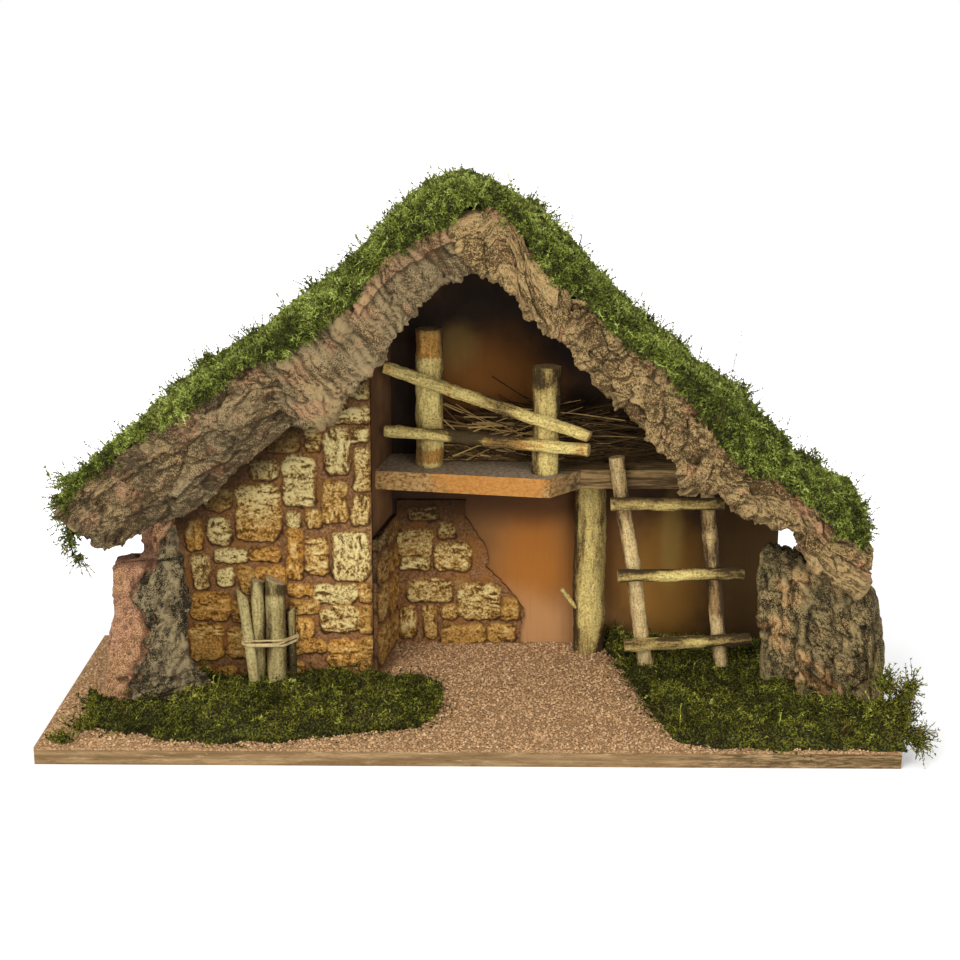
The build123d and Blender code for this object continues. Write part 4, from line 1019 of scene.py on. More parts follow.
branchMarks = {  # bark or orange added between two shares of the length
    "loft_post_left": (("orange", 0.8, 1.0, 0.5), ("orange", 0.03, 0.14, 0.4), ("bark", 0.0, 1.0, -0.3)),
    "loft_post_right": (("bark", 0.0, 1.0, 0.04), ("bark", 0.82, 1.0, 0.3), ("orange", 0.0, 0.15, 0.15)),
    "support_post": (("bark", 0.0, 1.0, -0.22), ("bark", 0.75, 1.0, 0.25), ("bark", 0.0, 0.16, 0.3),
                     ("orange", 0.0, 0.2, 0.15)),
    "rail_upper": (("bark", 0.0, 1.0, -0.4), ("bark", 0.3, 0.62, 0.12), ("orange", 0.31, 0.34, 0.5),
                   ("orange", 0.0, 0.04, 0.3)),
    "rail_lower": (("bark", 0.33, 0.48, 0.8), ("orange", 0.5, 0.8, 0.4), ("orange", 0.92, 1.0, 0.3)),
    "bundle_stick_thick": (("bark", 0.86, 1.0, 0.8),),
    "bundle_stick_split": (("bark", 0.0, 1.0, -0.6),),
    "bundle_stick_pale": (("bark", 0.0, 1.0, 0.6),),
    "ladder_stile_left": (("bark", 0.0, 0.35, -0.25), ("bark", 0.35, 0.86, 0.06), ("bark", 0.86, 1.0, -0.15)),
    "ladder_stile_right": (("orange", 0.3, 0.55, 0.3), ("bark", 0.0, 0.3, -0.1), ("bark", 0.3, 0.7, 0.36),
                           ("bark", 0.75, 1.0, 0.3)),
    "ladder_rung_bottom": (("bark", 0.0, 0.25, -0.2), ("bark", 0.65, 1.0, 0.3), ("orange", 0.1, 0.4, 0.12)),
    "ladder_rung_middle": (("bark", 0.0, 1.0, 0.3), ("bark", 0.0, 0.3, 0.35)),
    "ladder_rung_top": (("bark", 0.0, 1.0, 0.22), ("bark", 0.6, 1.0, 0.35)),
}
slants = {"bundle_stick_thick": -0.5, "bundle_stick_middle": -0.25, "bundle_stick_split": -1.2,
          "bundle_stick_pale": 0.7, "support_post": 0.2, "ladder_rung_bottom": 0.5, "rail_upper": 0.6,
          "rail_lower": 0.5}  # how far the upper end is cut out of square, in radii
branchShape = {"seed": 1000, "columns": 40, "cell": 1.3, "lump": 0.1, "crust": 0.55, "sway": 0.9,
               "flankShade": 0.55}
stickShape = {"seed": 1300, "columns": 28, "cell": 1.6, "lump": 0.04, "crust": 0.06, "sway": 0.2,
              "flankShade": 0.5}
twigShape = {**stickShape, "seed": 1211, "columns": 12, "lump": 0.2, "sway": 0.6}


def branchPiece(name, node, ends, shape, finishKey, slotName, number=0):
    # A circle carried from end to end: the axis sways as noise times sin(pi t), the radius swells with noise
    # of the place, and each end closes over smaller rings
    seed = shape["seed"] + 17 * number
    start, end, radius = np.array(ends[0]), np.array(ends[1]), ends[2]
    length = np.linalg.norm(end - start)
    axis = (end - start) / length
    side = unit(np.cross(axis, np.array([0.31, 0.9, 0.13])))
    other = np.cross(axis, side)
    rows = int(length / shape["cell"])
    share = np.concatenate([[0, 0, 0], np.linspace(0, 1, rows), [1, 1, 1]])
    scale = np.concatenate([[0.35, 0.7, 0.93], np.ones(rows), [0.93, 0.7, 0.35]])
    angle = 2 * np.pi * np.arange(shape["columns"]) / shape["columns"]
    ring = np.cos(angle)[:, None] * side + np.sin(angle)[:, None] * other
    line = np.stack([share * length, np.zeros_like(share), np.full_like(share, seed)], -1)
    bend = noise(line, 38, seed)[:, None] * side + noise(line, 38, seed + 1)[:, None] * other
    spine = start + share[:, None] * (end - start) + bend * (shape["sway"] * np.sin(np.pi * share))[:, None]
    places = spine[:, None] + ring[None] * radius
    lengthwise = places - 0.65 * (places @ axis)[..., None] * axis
    swell = 1 + shape["lump"] * fractal(lengthwise, 11, seed + 2)
    crust = shape["crust"] * (noise(lengthwise, 2.4, seed + 4) + 0.6 * noise(lengthwise, 1.2, seed + 5))
    size = (radius * swell + crust) * scale[:, None]
    slant = slants.get(node, 0.0) * radius * (ease(share, 0.9, 1.0) * scale)[:, None] * ring[:, 0][None]
    points = spine[:, None] + ring[None] * size[..., None] + slant[..., None] * axis
    reach = np.broadcast_to((share * length / 8)[:, None], size.shape)
    turned = np.stack([reach, size * np.cos(angle)[None] / 1.4, size * np.sin(angle)[None] / 1.4], -1) + seed
    values = {
        "cut": np.broadcast_to((scale < 0.99)[:, None], size.shape).astype(float),
        # bark: the bark left on the wood, plus painted shade on the sides turned away from the front and rear
        "bark": 0.9 * fractal(lengthwise, 14, seed + 7) + shape["flankShade"] * (0.7 - ring[None, :, 1] ** 2),
        "orange": np.zeros_like(size), "lengthwise": turned}
    for key, low, high, strength in branchMarks.get(node, ()):
        held = ease(share, low - 0.03, low + 0.03) * ease(share, high + 0.03, high - 0.03)
        values[key] = values[key] + strength * held[:, None]
    poleValues = {"cut": (1.0, 1.0), "bark": (0.0, 0.0), "orange": (0.0, 0.0),
                  "lengthwise": turned[[0, -1], 0]}
    putTube(name, points, spine[[0, -1]], (finishKey, slotName, (node,)), values, poleValues)


for number, (node, ends) in enumerate(branches.items()):
    finishKey = "stile" if "stile" in node else "branch"
    branchPiece(node + "_wood", node, ends, branchShape, finishKey, "peeled_branch", number)
for number, (node, ends) in enumerate(sticks.items()):
    branchPiece(node + "_wood", node, ends, stickShape, "stick", "bundle_stick", number)
branchPiece("support_post_twig", "support_post", twig, twigShape, "branch", "peeled_branch")

# Raffia round the bundle: circles of the four sticks at the tie's height

raffia = {"circles": ((-121.7, 9.58, 6.25), (-133.2, 11.62, 4.25), (-138.5, 5.6, 3.25),
                      (-112.57, 15.58, 2.75)),
          "height": 39.0, "radius": 0.75, "strands": 3, "points": 160, "sides": 8}


def raffiaPiece():
    # The hull of the circles: in each direction the circle that reaches furthest. Round it runs a small one
    circles = np.array(raffia["circles"])
    count, sides = raffia["points"], raffia["sides"]
    angle = 2 * np.pi * np.arange(count) / count
    heading = np.stack([np.cos(angle), np.sin(angle), 0 * angle], -1)
    furthest = (heading[:, :2] @ circles[:, :2].T + circles[:, 2]).argmax(1)
    hull = circles[furthest, :2] + heading[:, :2] * (circles[furthest, 2] + raffia["radius"])[:, None]
    around = 2 * np.pi * np.arange(sides)[None, :, None] / sides
    ring = np.cos(around) * heading[:, None] + np.sin(around) * np.array([0.0, 0, 1])
    points, faces = [], []
    for strand in range(raffia["strands"]):
        rise = raffia["height"] + 1.3 * (strand - 1) + 0.7 * np.sin(2 * angle + 2.1 * strand)
        size = raffia["radius"] * (1 + 0.2 * np.sin(7 * angle + strand))
        spine = np.concatenate([hull, rise[:, None]], -1)
        points.append((spine[:, None] + ring * size[:, None, None]).reshape(-1, 3))
        faces.append(gridFaces(count + 1, sides, True) % (count * sides) + count * sides * strand)
    points = np.concatenate(points)
    values = {key: np.zeros(len(points)) for key in ("cut", "bark", "orange")}
    values["lengthwise"] = points / np.array([5.0, 2.0, 1.2])
    cover = ("raffia", "raffia", ("bundle_tie",))
    putPiece("bundle_tie_raffia", points, [np.concatenate(faces)], cover, values)


raffiaPiece()
print("branches and sticks made")

# Moss: a lumpy mat under thousands of sprigs

roofMoss = {
    "depth": {  # down the slope, thickness
        -1: ((0, 4.5), (12, 10), (30, 10.5), (48, 9), (60, 8), (72, 6), (84, 4), (100, 4.4), (120, 6),
             (140, 6), (156, 5), (170, 6.5), (185, 7.5), (200, 10.5), (216, 10.5), (228, 10.5), (242, 7.5),
             (262, 7), (278, 8.5), (290, 7)),
        1: ((0, 4.5), (12, 9), (24, 13), (40, 16.5), (50, 17), (62, 15.5), (74, 15.5), (86, 14.5),
            (100, 11.5), (122, 10), (134, 8.5), (148, 9.5), (160, 10.5), (172, 9.5), (184, 8.5), (198, 10),
            (210, 12), (220, 13.5), (232, 12), (246, 9), (262, 6.5), (278, 6), (290, 7), (302, 9), (314, 6))},
    "seed": 71, "drawSeed": 900, "eave": {-1: -3.0, 1: -14.0}, "lumps": (3.2, 2.0, 1.2),
    "lift": {-1: 0.04, 1: 0.0}, "olive": {-1: 0.42, 1: 0.3},  # added to the tone, share of olive
    "overTop": slice(3, 47),  # the columns of the rings that lie on top
    "mounds": ((1, (283, -26), (15, 40), 12.0), (1, (222, -40), (20, 20), 4.0),
               (-1, (20, -30), (26, 30), 3.0)),  # side, down the slope and depth, reach, how much higher
    "needles": {"front": 35000, "rear": 13500, "length": (1.3, 3.2), "tone": 0.54},
    "fronds": {"front": 1450, "rear": 800, "length": (2.4, 8.0), "tone": 0.58},
}
groundMoss = {
    "seed": 191, "tall": 6.5, "lumps": 13.0, "floor": 10.6,
    "over": 40, "back": 6,  # columns over the top and back underneath
    "needles": {"left": 26500, "right": 31500, "length": (1.4, 3.4), "tone": 0.38},
    "fronds": {"left": 900, "right": 1000, "length": (3.5, 8.5), "tone": 0.42},
}
groundPatches = {  # edges: shares across and to the rear of a box of left, right, front, rear
    "left": {
        "matSeed": 151, "drawSeed": 31, "box": (-222, -17.5, -87, 19.9), "clumps": (),
        "front": ((-0.05, 0.5), (0.0, 0.25), (0.1, 0.14), (0.32, 0.04), (0.57, 0.05), (0.76, 0.16),
                  (0.94, 0.24), (1, 0.5)),
        "rear": ((-0.05, 0.55), (0.08, 0.7), (0.26, 0.96), (0.4, 0.98), (0.78, 0.98), (0.92, 0.97),
                 (1, 0.86))},
    "right": {
        "matSeed": 181, "drawSeed": 37, "box": (99.8, 250, -87, 82),
        "clumps": (((245, -70), (9, 13), 24), ((236, -52), (13, 11), 9)),
        "front": ((-0.06, 0.9), (0, 0.72), (0.07, 0.34), (0.14, 0.06), (0.3, 0.0), (1.02, -0.02)),
        "rear": ((-0.06, 1), (0.56, 1), (0.72, 0.96), (0.86, 0.8), (1.02, 0.6))},
}
needles = {"clumpSeed": 61, "width": 0.48, "toneSteps": (-0.32, -0.27, -0.29, 0.22),
           "faces": np.array([[0, 1, 3], [1, 2, 3], [2, 0, 3], [0, 2, 1]])}
fronds = {"leaves": 11, "leaf": (1.1, 2.5), "leafWidth": 0.42, "stemWidth": 0.22, "tuftSeed": 67}
tuftLooks = {  # middle, spread, heading, count, length, tone
    "roof": (((-237, -40, 143), (3, 5, 8), (-0.5, -0.4, -0.6), 110, (3, 7), 0.5),
             ((-233, -42, 124), (2.5, 4, 8), (-0.3, -0.4, -0.9), 80, (3, 8), 0.42),
             ((-230, -40, 156), (8, 5, 2), (-0.6, -0.3, 0.3), 60, (3, 7), 0.55),
             ((-228, -44, 112), (1, 3, 2), (-0.1, -0.3, -1.0), 16, (4, 9), 0.4),
             ((223, -40, 143), (5, 6, 5), (0.6, -0.3, 0.4), 110, (3, 7), 0.55),
             ((229, -40, 130), (3, 5, 7), (0.7, -0.4, -0.3), 80, (3, 6), 0.48),
             ((-170, 78, 205), (7, 4, 4), (-0.4, -0.2, 0.9), 46, (3, 8), 0.5),
             ((-192, 78, 188), (4, 4, 3), (-0.5, -0.2, 0.8), 30, (3, 7), 0.5),
             ((-140, 78, 220), (6, 4, 3), (-0.3, -0.2, 0.9), 30, (3, 6), 0.5),
             ((-101, 78, 247), (3, 4, 3), (-0.4, -0.2, 0.9), 26, (3, 9), 0.42),
             ((-50, 78, 295), (6, 4, 3), (-0.3, -0.2, 0.9), 24, (3, 6), 0.5),
             ((37, 78, 304), (4, 4, 3), (0.2, -0.2, 0.9), 24, (3, 8), 0.5),
             ((49, 78, 295), (4, 4, 3), (0.3, -0.2, 0.9), 24, (3, 8), 0.5),
             ((112, 78, 239), (8, 4, 4), (0.3, -0.2, 0.9), 46, (3, 8), 0.5),
             ((131, 78, 226), (4, 4, 3), (0.2, -0.2, 0.9), 30, (3, 8), 0.45),
             ((176, 78, 189), (3, 4, 5), (0.2, -0.2, 1.0), 40, (4, 10), 0.45),
             ((222, 70, 143), (9, 6, 5), (0.4, -0.2, 0.9), 60, (4, 9), 0.5)),
    "ground": (((249, -72, 24), (5, 8, 9), (0.6, -0.3, 0.6), 380, (3, 9), 0.42),
               ((254, -74, 40), (3, 4, 6), (0.3, -0.2, 0.9), 90, (4, 10), 0.46),
               ((257, -80, 16), (4, 5, 5), (0.9, -0.3, -0.1), 110, (4, 11), 0.44),
               ((246, -64, 40), (3, 5, 5), (-0.3, -0.2, 0.9), 80, (4, 9), 0.46),
               ((-236, -82, 11.5), (5, 4, 0.5), (0.0, -0.2, 0.8), 60, (2.5, 6), 0.4),
               ((-226, -62, 11.5), (6, 7, 0.5), (-0.4, -0.1, 0.8), 90, (2.5, 7), 0.4)),
}
strayFronds = (  # root, heading, length
    ((-220, -44, 157), (-1.0, -0.1, 0.06), 15), ((150, -30, 214), (0.18, -0.1, 1.0), 19),
    ((-19, -30, 326), (-0.3, 0, 1.0), 6), ((-100, 70, 251), (-0.6, 0, 0.8), 6),
    ((-148, 70, 214), (-0.5, 0, 0.9), 8), ((36, 74, 309), (0.4, 0, 0.9), 7),
    ((47, 74, 300), (0.2, 0, 1.0), 6), ((85, 74, 265), (0.3, 0, 0.9), 6))


def mossHeading(bases, normals, lean, draw):
    # Outward, swayed by noise shared by each clump, and more by chance
    clump = sway(bases, 8, needles["clumpSeed"])
    return unit(lean * normals + 0.6 * clump + 0.95 * unit(draw.normal(size=bases.shape)))


def rootRing(heading, draw):
    # Three directions round a heading
    side = unit(np.cross(heading, draw.normal(size=heading.shape)))
    other = np.cross(heading, side)
    angle = 2 * np.pi * np.arange(3) / 3
    return np.cos(angle)[:, None] * side[..., None, :] + np.sin(angle)[:, None] * other[..., None, :]


def putMoss(name, points, faceSets, tones, hues, toneSteps, cover):
    # Darker at the root and lighter at the tip. Steps in hue keep each face's place on the colour map from
    # being flat
    hueSteps = 0.03 * (np.arange(points.shape[1]) % 3 - 1)
    putMany(name, points, faceSets, cover, tones[:, None] + np.array(toneSteps), hues[:, None] + hueSteps)


def putNeedles(name, bases, heading, lengths, tones, hues, cover, draw, width=needles["width"]):
    # Each needle: a root ring of three points and a tip. None reaches below the base's underside
    thick = (width * draw.uniform(0.7, 1.3, len(bases)))[:, None, None]
    roots = bases[:, None] + rootRing(heading, draw) * thick
    points = np.concatenate([roots, (bases + heading * lengths[:, None])[:, None]], 1)
    points[..., 2] = np.maximum(points[..., 2], 0.3 + 0.2 * np.arange(4))
    putMoss(name, points, [needles["faces"]], tones, hues, needles["toneSteps"], cover)


def putFronds(name, bases, heading, lengths, tones, hues, cover, draw):
    # Each stem: base + heading L t + bend L t^2 as a three-sided tube that ends in a point. Leaves stand
    # along it by chance
    count = len(bases)
    bend = unit(draw.normal(size=bases.shape) + 0.3 * heading) * draw.uniform(0.5, 1.1, (count, 1))

    def spine(t):
        t = t[..., None]
        reach = lengths[:, None, None]
        return bases[:, None] + heading[:, None] * reach * t + bend[:, None] * reach * t ** 2

    line = spine(np.array([[0, 0.3, 0.6, 0.85, 1.0]]))
    widths = fronds["stemWidth"] * np.array([1.2, 1.0, 0.9, 0.7])
    ring = rootRing(heading, draw)[:, None] * widths[None, :, None, None]
    points = np.concatenate([(line[:, :4, None] + ring).reshape(count, 12, 3), line[:, 4:]], 1)
    points[..., 2] = np.maximum(points[..., 2], 0.3 + 0.1 * np.arange(13))
    tips = np.array([[9, 10, 12], [10, 11, 12], [11, 9, 12], [0, 2, 1]])
    steps = np.repeat((-0.25, -0.12, -0.04, 0.02), 3) + np.tile((0.0, 0.02, 0.01), 4)
    putMoss(name + "_stems", points, [gridFaces(4, 3, True), tips], tones, hues, (*steps, 0.1), cover)
    t = np.sort(draw.uniform(0.1, 1.0, (count, fronds["leaves"])), 1)
    roots = spine(t)
    tangent = unit(heading[:, None] + 2 * bend[:, None] * t[..., None])
    leaf = unit(0.7 * tangent + unit(draw.normal(size=roots.shape))).reshape(-1, 3)
    tones = (tones[:, None] + 0.14 * (t - 0.4) + draw.normal(0, 0.08, t.shape)).ravel()
    hues = np.repeat(hues, fronds["leaves"])
    leafLengths = draw.uniform(*fronds["leaf"], len(leaf))
    putNeedles(name + "_leaves", roots.reshape(-1, 3), leaf, leafLengths, tones, hues, cover, draw,
               fronds["leafWidth"])


def putMat(name, points, cover, seed, brown):
    # A closed tube of rings with dark tones, under the sprigs
    poles = points[[0, -1]].mean(1)
    values = {"tone": np.clip(0.2 + 0.2 * noise(points, 4, seed), 0.01, 0.99),
              "hue": np.clip(brown + 0.4 * noise(points, 11, seed + 1), 0.01, 0.99)}
    putTube(name, points, poles, cover, values, {"tone": (0.1, 0.15), "hue": (0.4, 0.5)})


def onGrid(points, normals, draw, count, weight):
    # Random places on a grid of rings, more where a cell's area times its weight is larger
    down = np.linalg.norm(points[1:] - points[:-1], axis=-1)
    across = np.linalg.norm(np.roll(points, -1, 1) - points, axis=-1)[:-1]
    chance = np.cumsum((down * across * weight[:-1]).ravel())
    cell = np.searchsorted(chance, draw.uniform(0, chance[-1], count))
    row, column = np.divmod(cell, points.shape[1])
    u, v = draw.uniform(size=(2, count, 1))
    after = (column + 1) % points.shape[1]
    place = (points[row, column] * (1 - u) + points[row + 1, column] * u) * (1 - v)
    place += (points[row, after] * (1 - u) + points[row + 1, after] * u) * v
    return place, unit(normals[row, column])


def roofMat(side):
    # Rings down the slope: each starts at the front lip under the moss line, goes over the top to the rear
    # edge and back along the panel. Near the ridge the height's direction turns upright
    length = roof["slope"][side] + roofMoss["eave"][side]
    rows = int(length / 2.6)
    distance = np.linspace(-2.0, length, rows)
    pitch = math.radians(roof["pitch"][side])
    depth = along(roofMoss["depth"][side], distance)
    closing = np.clip((length - distance) / 9, 0, 1)[:, None]
    line = along(fascia["mossLine"][side], distance)
    lip = np.maximum(depth, 4.5 - line)
    rear, front = roof["rear"] + 0.5, roof["barkFront"] - 2.0
    y = np.concatenate([[front, front - 1.5, front - 0.5, front + 4], np.linspace(front + 8, rear - 6, 42),
                        [rear - 1.5, rear, rear], np.linspace(rear - 8, front + 14, 9)])
    overTop = roofMoss["overTop"]
    height = np.full((rows, len(y)), 0.3)  # a thin sheet, then its lip, its top and its rear edge
    height[:, 0] = -line
    height[:, 1] = np.maximum(-line, 0) * 0.4 + 0.4 * lip - 1
    height[:, 2] = 0.85 * lip
    height[:, overTop] = depth[:, None] + (lip - depth)[:, None] * ease(y, -8, front + 4)[None, overTop]
    height[:, overTop.stop - 1], height[:, overTop.stop] = 0.8 * depth, 0.4 * depth
    for mound, place, reach, tall in roofMoss["mounds"]:
        if mound == side:
            away = ((distance - place[0])[:, None] / reach[0]) ** 2 + ((y - place[1])[None] / reach[1]) ** 2
            height = height + tall * np.exp(-away) * (height > 3)
    height = np.where(height > 0.3, 0.3 + (height - 0.3) * np.sqrt(1 - (1 - closing) ** 2), height)
    angle = (pitch * ease(distance, 0, 30))[:, None]
    x = roof["ridgeX"] + side * distance[:, None] * math.cos(pitch) + side * height * np.sin(angle)
    z = roof["ridgeZ"] - distance[:, None] * math.sin(pitch) + height * np.cos(angle)
    points = np.stack([x, np.broadcast_to(y, x.shape), z], -1)
    normals = surfaceNormals(points)
    if normals[rows // 2, 24, 2] < 0:
        normals = -normals
    broad, middling, small = roofMoss["lumps"]
    seed = roofMoss["seed"]
    lumps = broad * fractal(points, 19, seed) + middling * noise(points, 7, seed + 4)
    lumps = lumps + small * noise(points, 3.1, seed + 6)
    outer = (np.arange(len(y)) < overTop.stop).astype(float)
    return points + normals * (lumps * outer)[..., None], normals, outer


def roofSide(side, word):
    points, normals, outer = roofMat(side)
    cover = ("roofMoss", "roof_moss", ("roof_moss_" + word,))
    seed = roofMoss["seed"]
    putMat("roof_moss_mat_" + word, points, cover, seed + 12, 0.5)
    draw = np.random.default_rng(roofMoss["drawSeed"] + side)
    y = points[..., 1]
    for part, share in (("front", y < 16), ("rear", y >= 16)):
        for kind, put in (("needles", putNeedles), ("fronds", putFronds)):
            look = roofMoss[kind]
            weight = outer[None] * share * np.where(y < -36, 1.5, 1.0)
            if kind == "fronds":
                weight = weight * np.where((y < -38) | (y > 80), 8.0, 1.0)
            bases, facing = onGrid(points, normals, draw, look[part], weight)
            count = len(bases)
            # Painted shade: sprigs on the moss's front face, over the bark, are darker
            tones = look["tone"] - 0.1 * ease(bases[:, 1], -38, -46) + roofMoss["lift"][side]
            tones = tones + 0.4 * noise(bases, 3.6, seed + 18) + 0.2 * noise(bases, 13, seed + 20)
            tones = tones + draw.normal(0, 0.14, count)
            hues = roofMoss["olive"][side] + 0.3 * noise(bases, 22, seed + 22) + draw.normal(0, 0.14, count)
            heading = mossHeading(bases, unit(facing + np.array([0, 0, 0.25])), 0.5, draw)
            shares = draw.uniform(size=count) ** (1.0 if kind == "needles" else 2.2)
            lengths = look["length"][0] + (look["length"][1] - look["length"][0]) * shares
            name = "roof_moss_" + kind + "_" + word + "_" + part
            put(name, bases, heading, lengths, tones, np.clip(hues, 0, 0.9), cover, draw)


def patchRail(word, edge):
    # One edge of a ground patch: its shares of the patch's box as places
    left, right, front, rear = groundPatches[word]["box"]
    return np.array([(left + across * (right - left), front + back * (rear - front))
                     for across, back in groundPatches[word][edge]])


def groundMat(word):
    # Across the patch, rings from the front edge over a low dome to the rear edge and back along the ground,
    # with taller clumps where the patch has them. Both ends close like a quarter circle
    seed = groundPatches[word]["matSeed"]
    frontRail, rearRail = patchRail(word, "front"), patchRail(word, "rear")
    left = max(frontRail[:, 0].min(), rearRail[:, 0].min())
    right = min(frontRail[:, 0].max(), rearRail[:, 0].max())
    x = np.linspace(left, right, int((right - left) / 2.2))
    edge = np.stack([x, 0 * x, 0 * x], -1)
    front = along(frontRail, x) + 3.5 * fractal(edge, 16, seed)
    rear = np.maximum(along(rearRail, x) + 1.5 * fractal(edge, 16, seed + 3), front + 2)
    over = np.linspace(0, 1, groundMoss["over"])
    back = np.linspace(1, 0, groundMoss["back"] + 2)[1:-1]
    y = front[:, None] + (rear - front)[:, None] * np.concatenate([over, back])[None]
    dome = np.concatenate([np.sin(np.pi * over) ** 0.35, 0 * back])[None]
    flat = np.stack([np.broadcast_to(x[:, None], y.shape), y, np.zeros_like(y)], -1)
    clumps = ease(fractal(flat, 24, seed + 6), -0.35, 0.45) + 0.3 * noise(flat, 8, seed + 9)
    height = dome * (0.35 * groundMoss["tall"] + groundMoss["lumps"] * np.clip(clumps, 0, 1.2))
    for place, reach, tall in groundPatches[word]["clumps"]:
        away = np.hypot((flat[..., 0] - place[0]) / reach[0], (flat[..., 1] - place[1]) / reach[1])
        height = height + tall * np.exp(-away ** 2) * dome
    closing = np.clip(np.minimum(x - left, right - x) / 5, 0, 1)
    height = height * np.sqrt(1 - (1 - closing) ** 2)[:, None]
    flat[..., 2] = groundMoss["floor"] + np.maximum(height, 0)
    outer = np.concatenate([1 + 0 * over, 0 * back])
    outer[[0, len(over) - 1]] = 0.5
    return flat, np.broadcast_to(outer, y.shape)


def groundSide(word):
    points, outer = groundMat(word)
    normals = surfaceNormals(points)
    if normals[len(points) // 2, 20, 2] < 0:
        normals = -normals
    cover = ("groundMoss", "ground_moss", ("ground_moss_" + word,))
    seed = groundMoss["seed"]
    putMat("ground_moss_mat_" + word, points, cover, seed, 0.15)
    draw = np.random.default_rng(groundPatches[word]["drawSeed"])
    for kind, put in (("needles", putNeedles), ("fronds", putFronds)):
        look = groundMoss[kind]
        weight = outer
        if kind == "fronds":
            weight = weight * np.where(points[..., 2] < 13, 4.0, 1.0)
        bases, facing = onGrid(points, normals, draw, look[word], weight)
        count = len(bases)
        loose = draw.uniform(size=count) < 0.2
        strewn = loose[:, None] * draw.normal(0, 5.5, (count, 2))
        bases[:, :2] += strewn
        bases[:, 2] = np.where(np.abs(strewn).sum(1) > 0, 10.8, bases[:, 2])
        bases[:, 0], bases[:, 1] = np.clip(bases[:, 0], -248, 250), np.maximum(bases[:, 1], -88.5)
        # Painted shade: sprigs low on the ground and between the clumps are darker, those high on the clumps
        # lighter
        tones = look["tone"] - 0.16 + 0.24 * ease(bases[:, 2], 11, 26)
        tones = tones + 0.46 * noise(bases, 4, seed + 8) + 0.12 * noise(bases, 13, seed + 12)
        tones = tones + draw.normal(0, 0.16, count)
        hues = 0.35 + 0.35 * noise(bases, 16, seed + 16) + draw.normal(0, 0.15, count)
        heading = mossHeading(bases, unit(facing + np.array([0, 0, 0.2])), 0.4, draw)
        lengths = draw.uniform(*look["length"], count)
        name = "ground_moss_" + kind + "_" + word
        put(name, bases, heading, lengths, tones, np.clip(hues, 0, 0.95), cover, draw)


def tuftPiece(kind, cover):
    # Loose tufts past the mats' edges: roots spread round a middle by chance, all leaning one way. Those at
    # the roof's rear stand on the mat
    draw = np.random.default_rng(fronds["tuftSeed"])
    tufts = []
    for middle, spread, lean, count, length, tone in tuftLooks[kind]:
        bases = np.array(middle) + draw.normal(size=(count, 3)) * np.array(spread) * 0.6
        heading = unit(unit(np.array(lean, float)) + 0.8 * unit(draw.normal(size=(count, 3))))
        tones = tone + draw.normal(0, 0.12, count)
        tufts.append((bases, heading, draw.uniform(*length, count), tones))
    if kind == "roof":
        roots, leans, lengths = [np.array(column, float) for column in zip(*strayFronds)]
        tufts.append((roots, unit(leans), lengths, np.full(len(lengths), 0.5)))
    bases, heading, lengths, tones = [np.concatenate(column) for column in zip(*tufts)]
    if kind == "roof":
        tops = [roofMat(side)[0][:-3, roofMoss["overTop"]].reshape(-1, 3) for side in (-1, 1)]
        tops = np.concatenate(tops)
        nearby = ((bases[:, None, :2] - tops[None, :, :2]) ** 2).sum(-1).argmin(1)
        bases = np.where((bases[:, 1] > 50)[:, None], tops[nearby] - np.array([0, 0, 0.6]), bases)
    hues = np.clip(draw.normal(0.4, 0.2, len(bases)), 0, 0.9)
    putFronds(kind + "_moss_tufts", bases, heading, lengths, tones, hues, cover, draw)


roofSide(-1, "left")
roofSide(1, "right")
groundSide("left")
groundSide("right")
tuftPiece("roof", ("roofMoss", "roof_moss", ()))
tuftPiece("ground", ("groundMoss", "ground_moss", ()))
print("moss made")

# Loose cork crumbs on the ground, not inside the left room nor under the moss

crumbs = {"seed": 41, "count": 18000, "size": (0.5, 1.4), "top": 10.5,
          "mossed": {"left": (-214, -24), "right": (104, 999)},
          "faces": np.array([[0, 2, 4], [2, 1, 4], [1, 3, 4], [3, 0, 4],
                             [2, 0, 5], [1, 2, 5], [3, 1, 5], [0, 3, 5]])}


def crumbPiece():
    # Each crumb is a squashed octahedron: six points at random distances along turned axes
    draw = np.random.default_rng(crumbs["seed"])
    spots = np.stack([draw.uniform(-249, 249, crumbs["count"]), draw.uniform(-89, 81, crumbs["count"])], -1)
    x, y = spots.T
    taken = (x < -50) & (x > -188) & (y > 20)
    taken |= (x > 200) & (y > 60)
    for word, (left, right) in crumbs["mossed"].items():
        front, rear = along(patchRail(word, "front"), x) + 7, along(patchRail(word, "rear"), x) - 4
        taken |= (x > left) & (x < right) & (y > front) & (y < rear)
    spots = spots[~taken]
    count = len(spots)
    size = draw.uniform(*crumbs["size"], (count, 6))
    size[:, 4:] *= 0.75
    turn = draw.uniform(0, 2 * np.pi, count)
    east = np.stack([np.cos(turn), np.sin(turn), 0.3 * draw.normal(size=count)], -1)
    north = np.stack([-np.sin(turn), np.cos(turn), 0.3 * draw.normal(size=count)], -1)
    up = np.broadcast_to(np.array([0.0, 0, 1]), (count, 3))
    axes = np.stack([east, -east, north, -north, up, -up], 1)
    centre = np.concatenate([spots, crumbs["top"] + draw.uniform(-0.15, 0.35, (count, 1))], -1)
    tone = draw.normal(0.5, 0.2, (count, 1)) + draw.uniform(-0.04, 0.04, (count, 6))
    hue = draw.uniform(0.1, 0.75, (count, 1)) + draw.uniform(-0.04, 0.04, (count, 6))
    putMany("cork_crumbs", centre[:, None] + axes * size[..., None], [crumbs["faces"]],
            ("crumbs", "cork_granules", ()), tone, hue)


crumbPiece()

# Brushwood on the loft

brush = {"count": 1300, "length": (26, 95), "radius": (0.25, 0.6), "left": -16.0, "right": 150.0,
         "floor": 143.0, "depth": (62, 80), "seed": 53,
         "heap": (45, 60, 5, 27)}  # middle, reach, lowest, rise at the middle


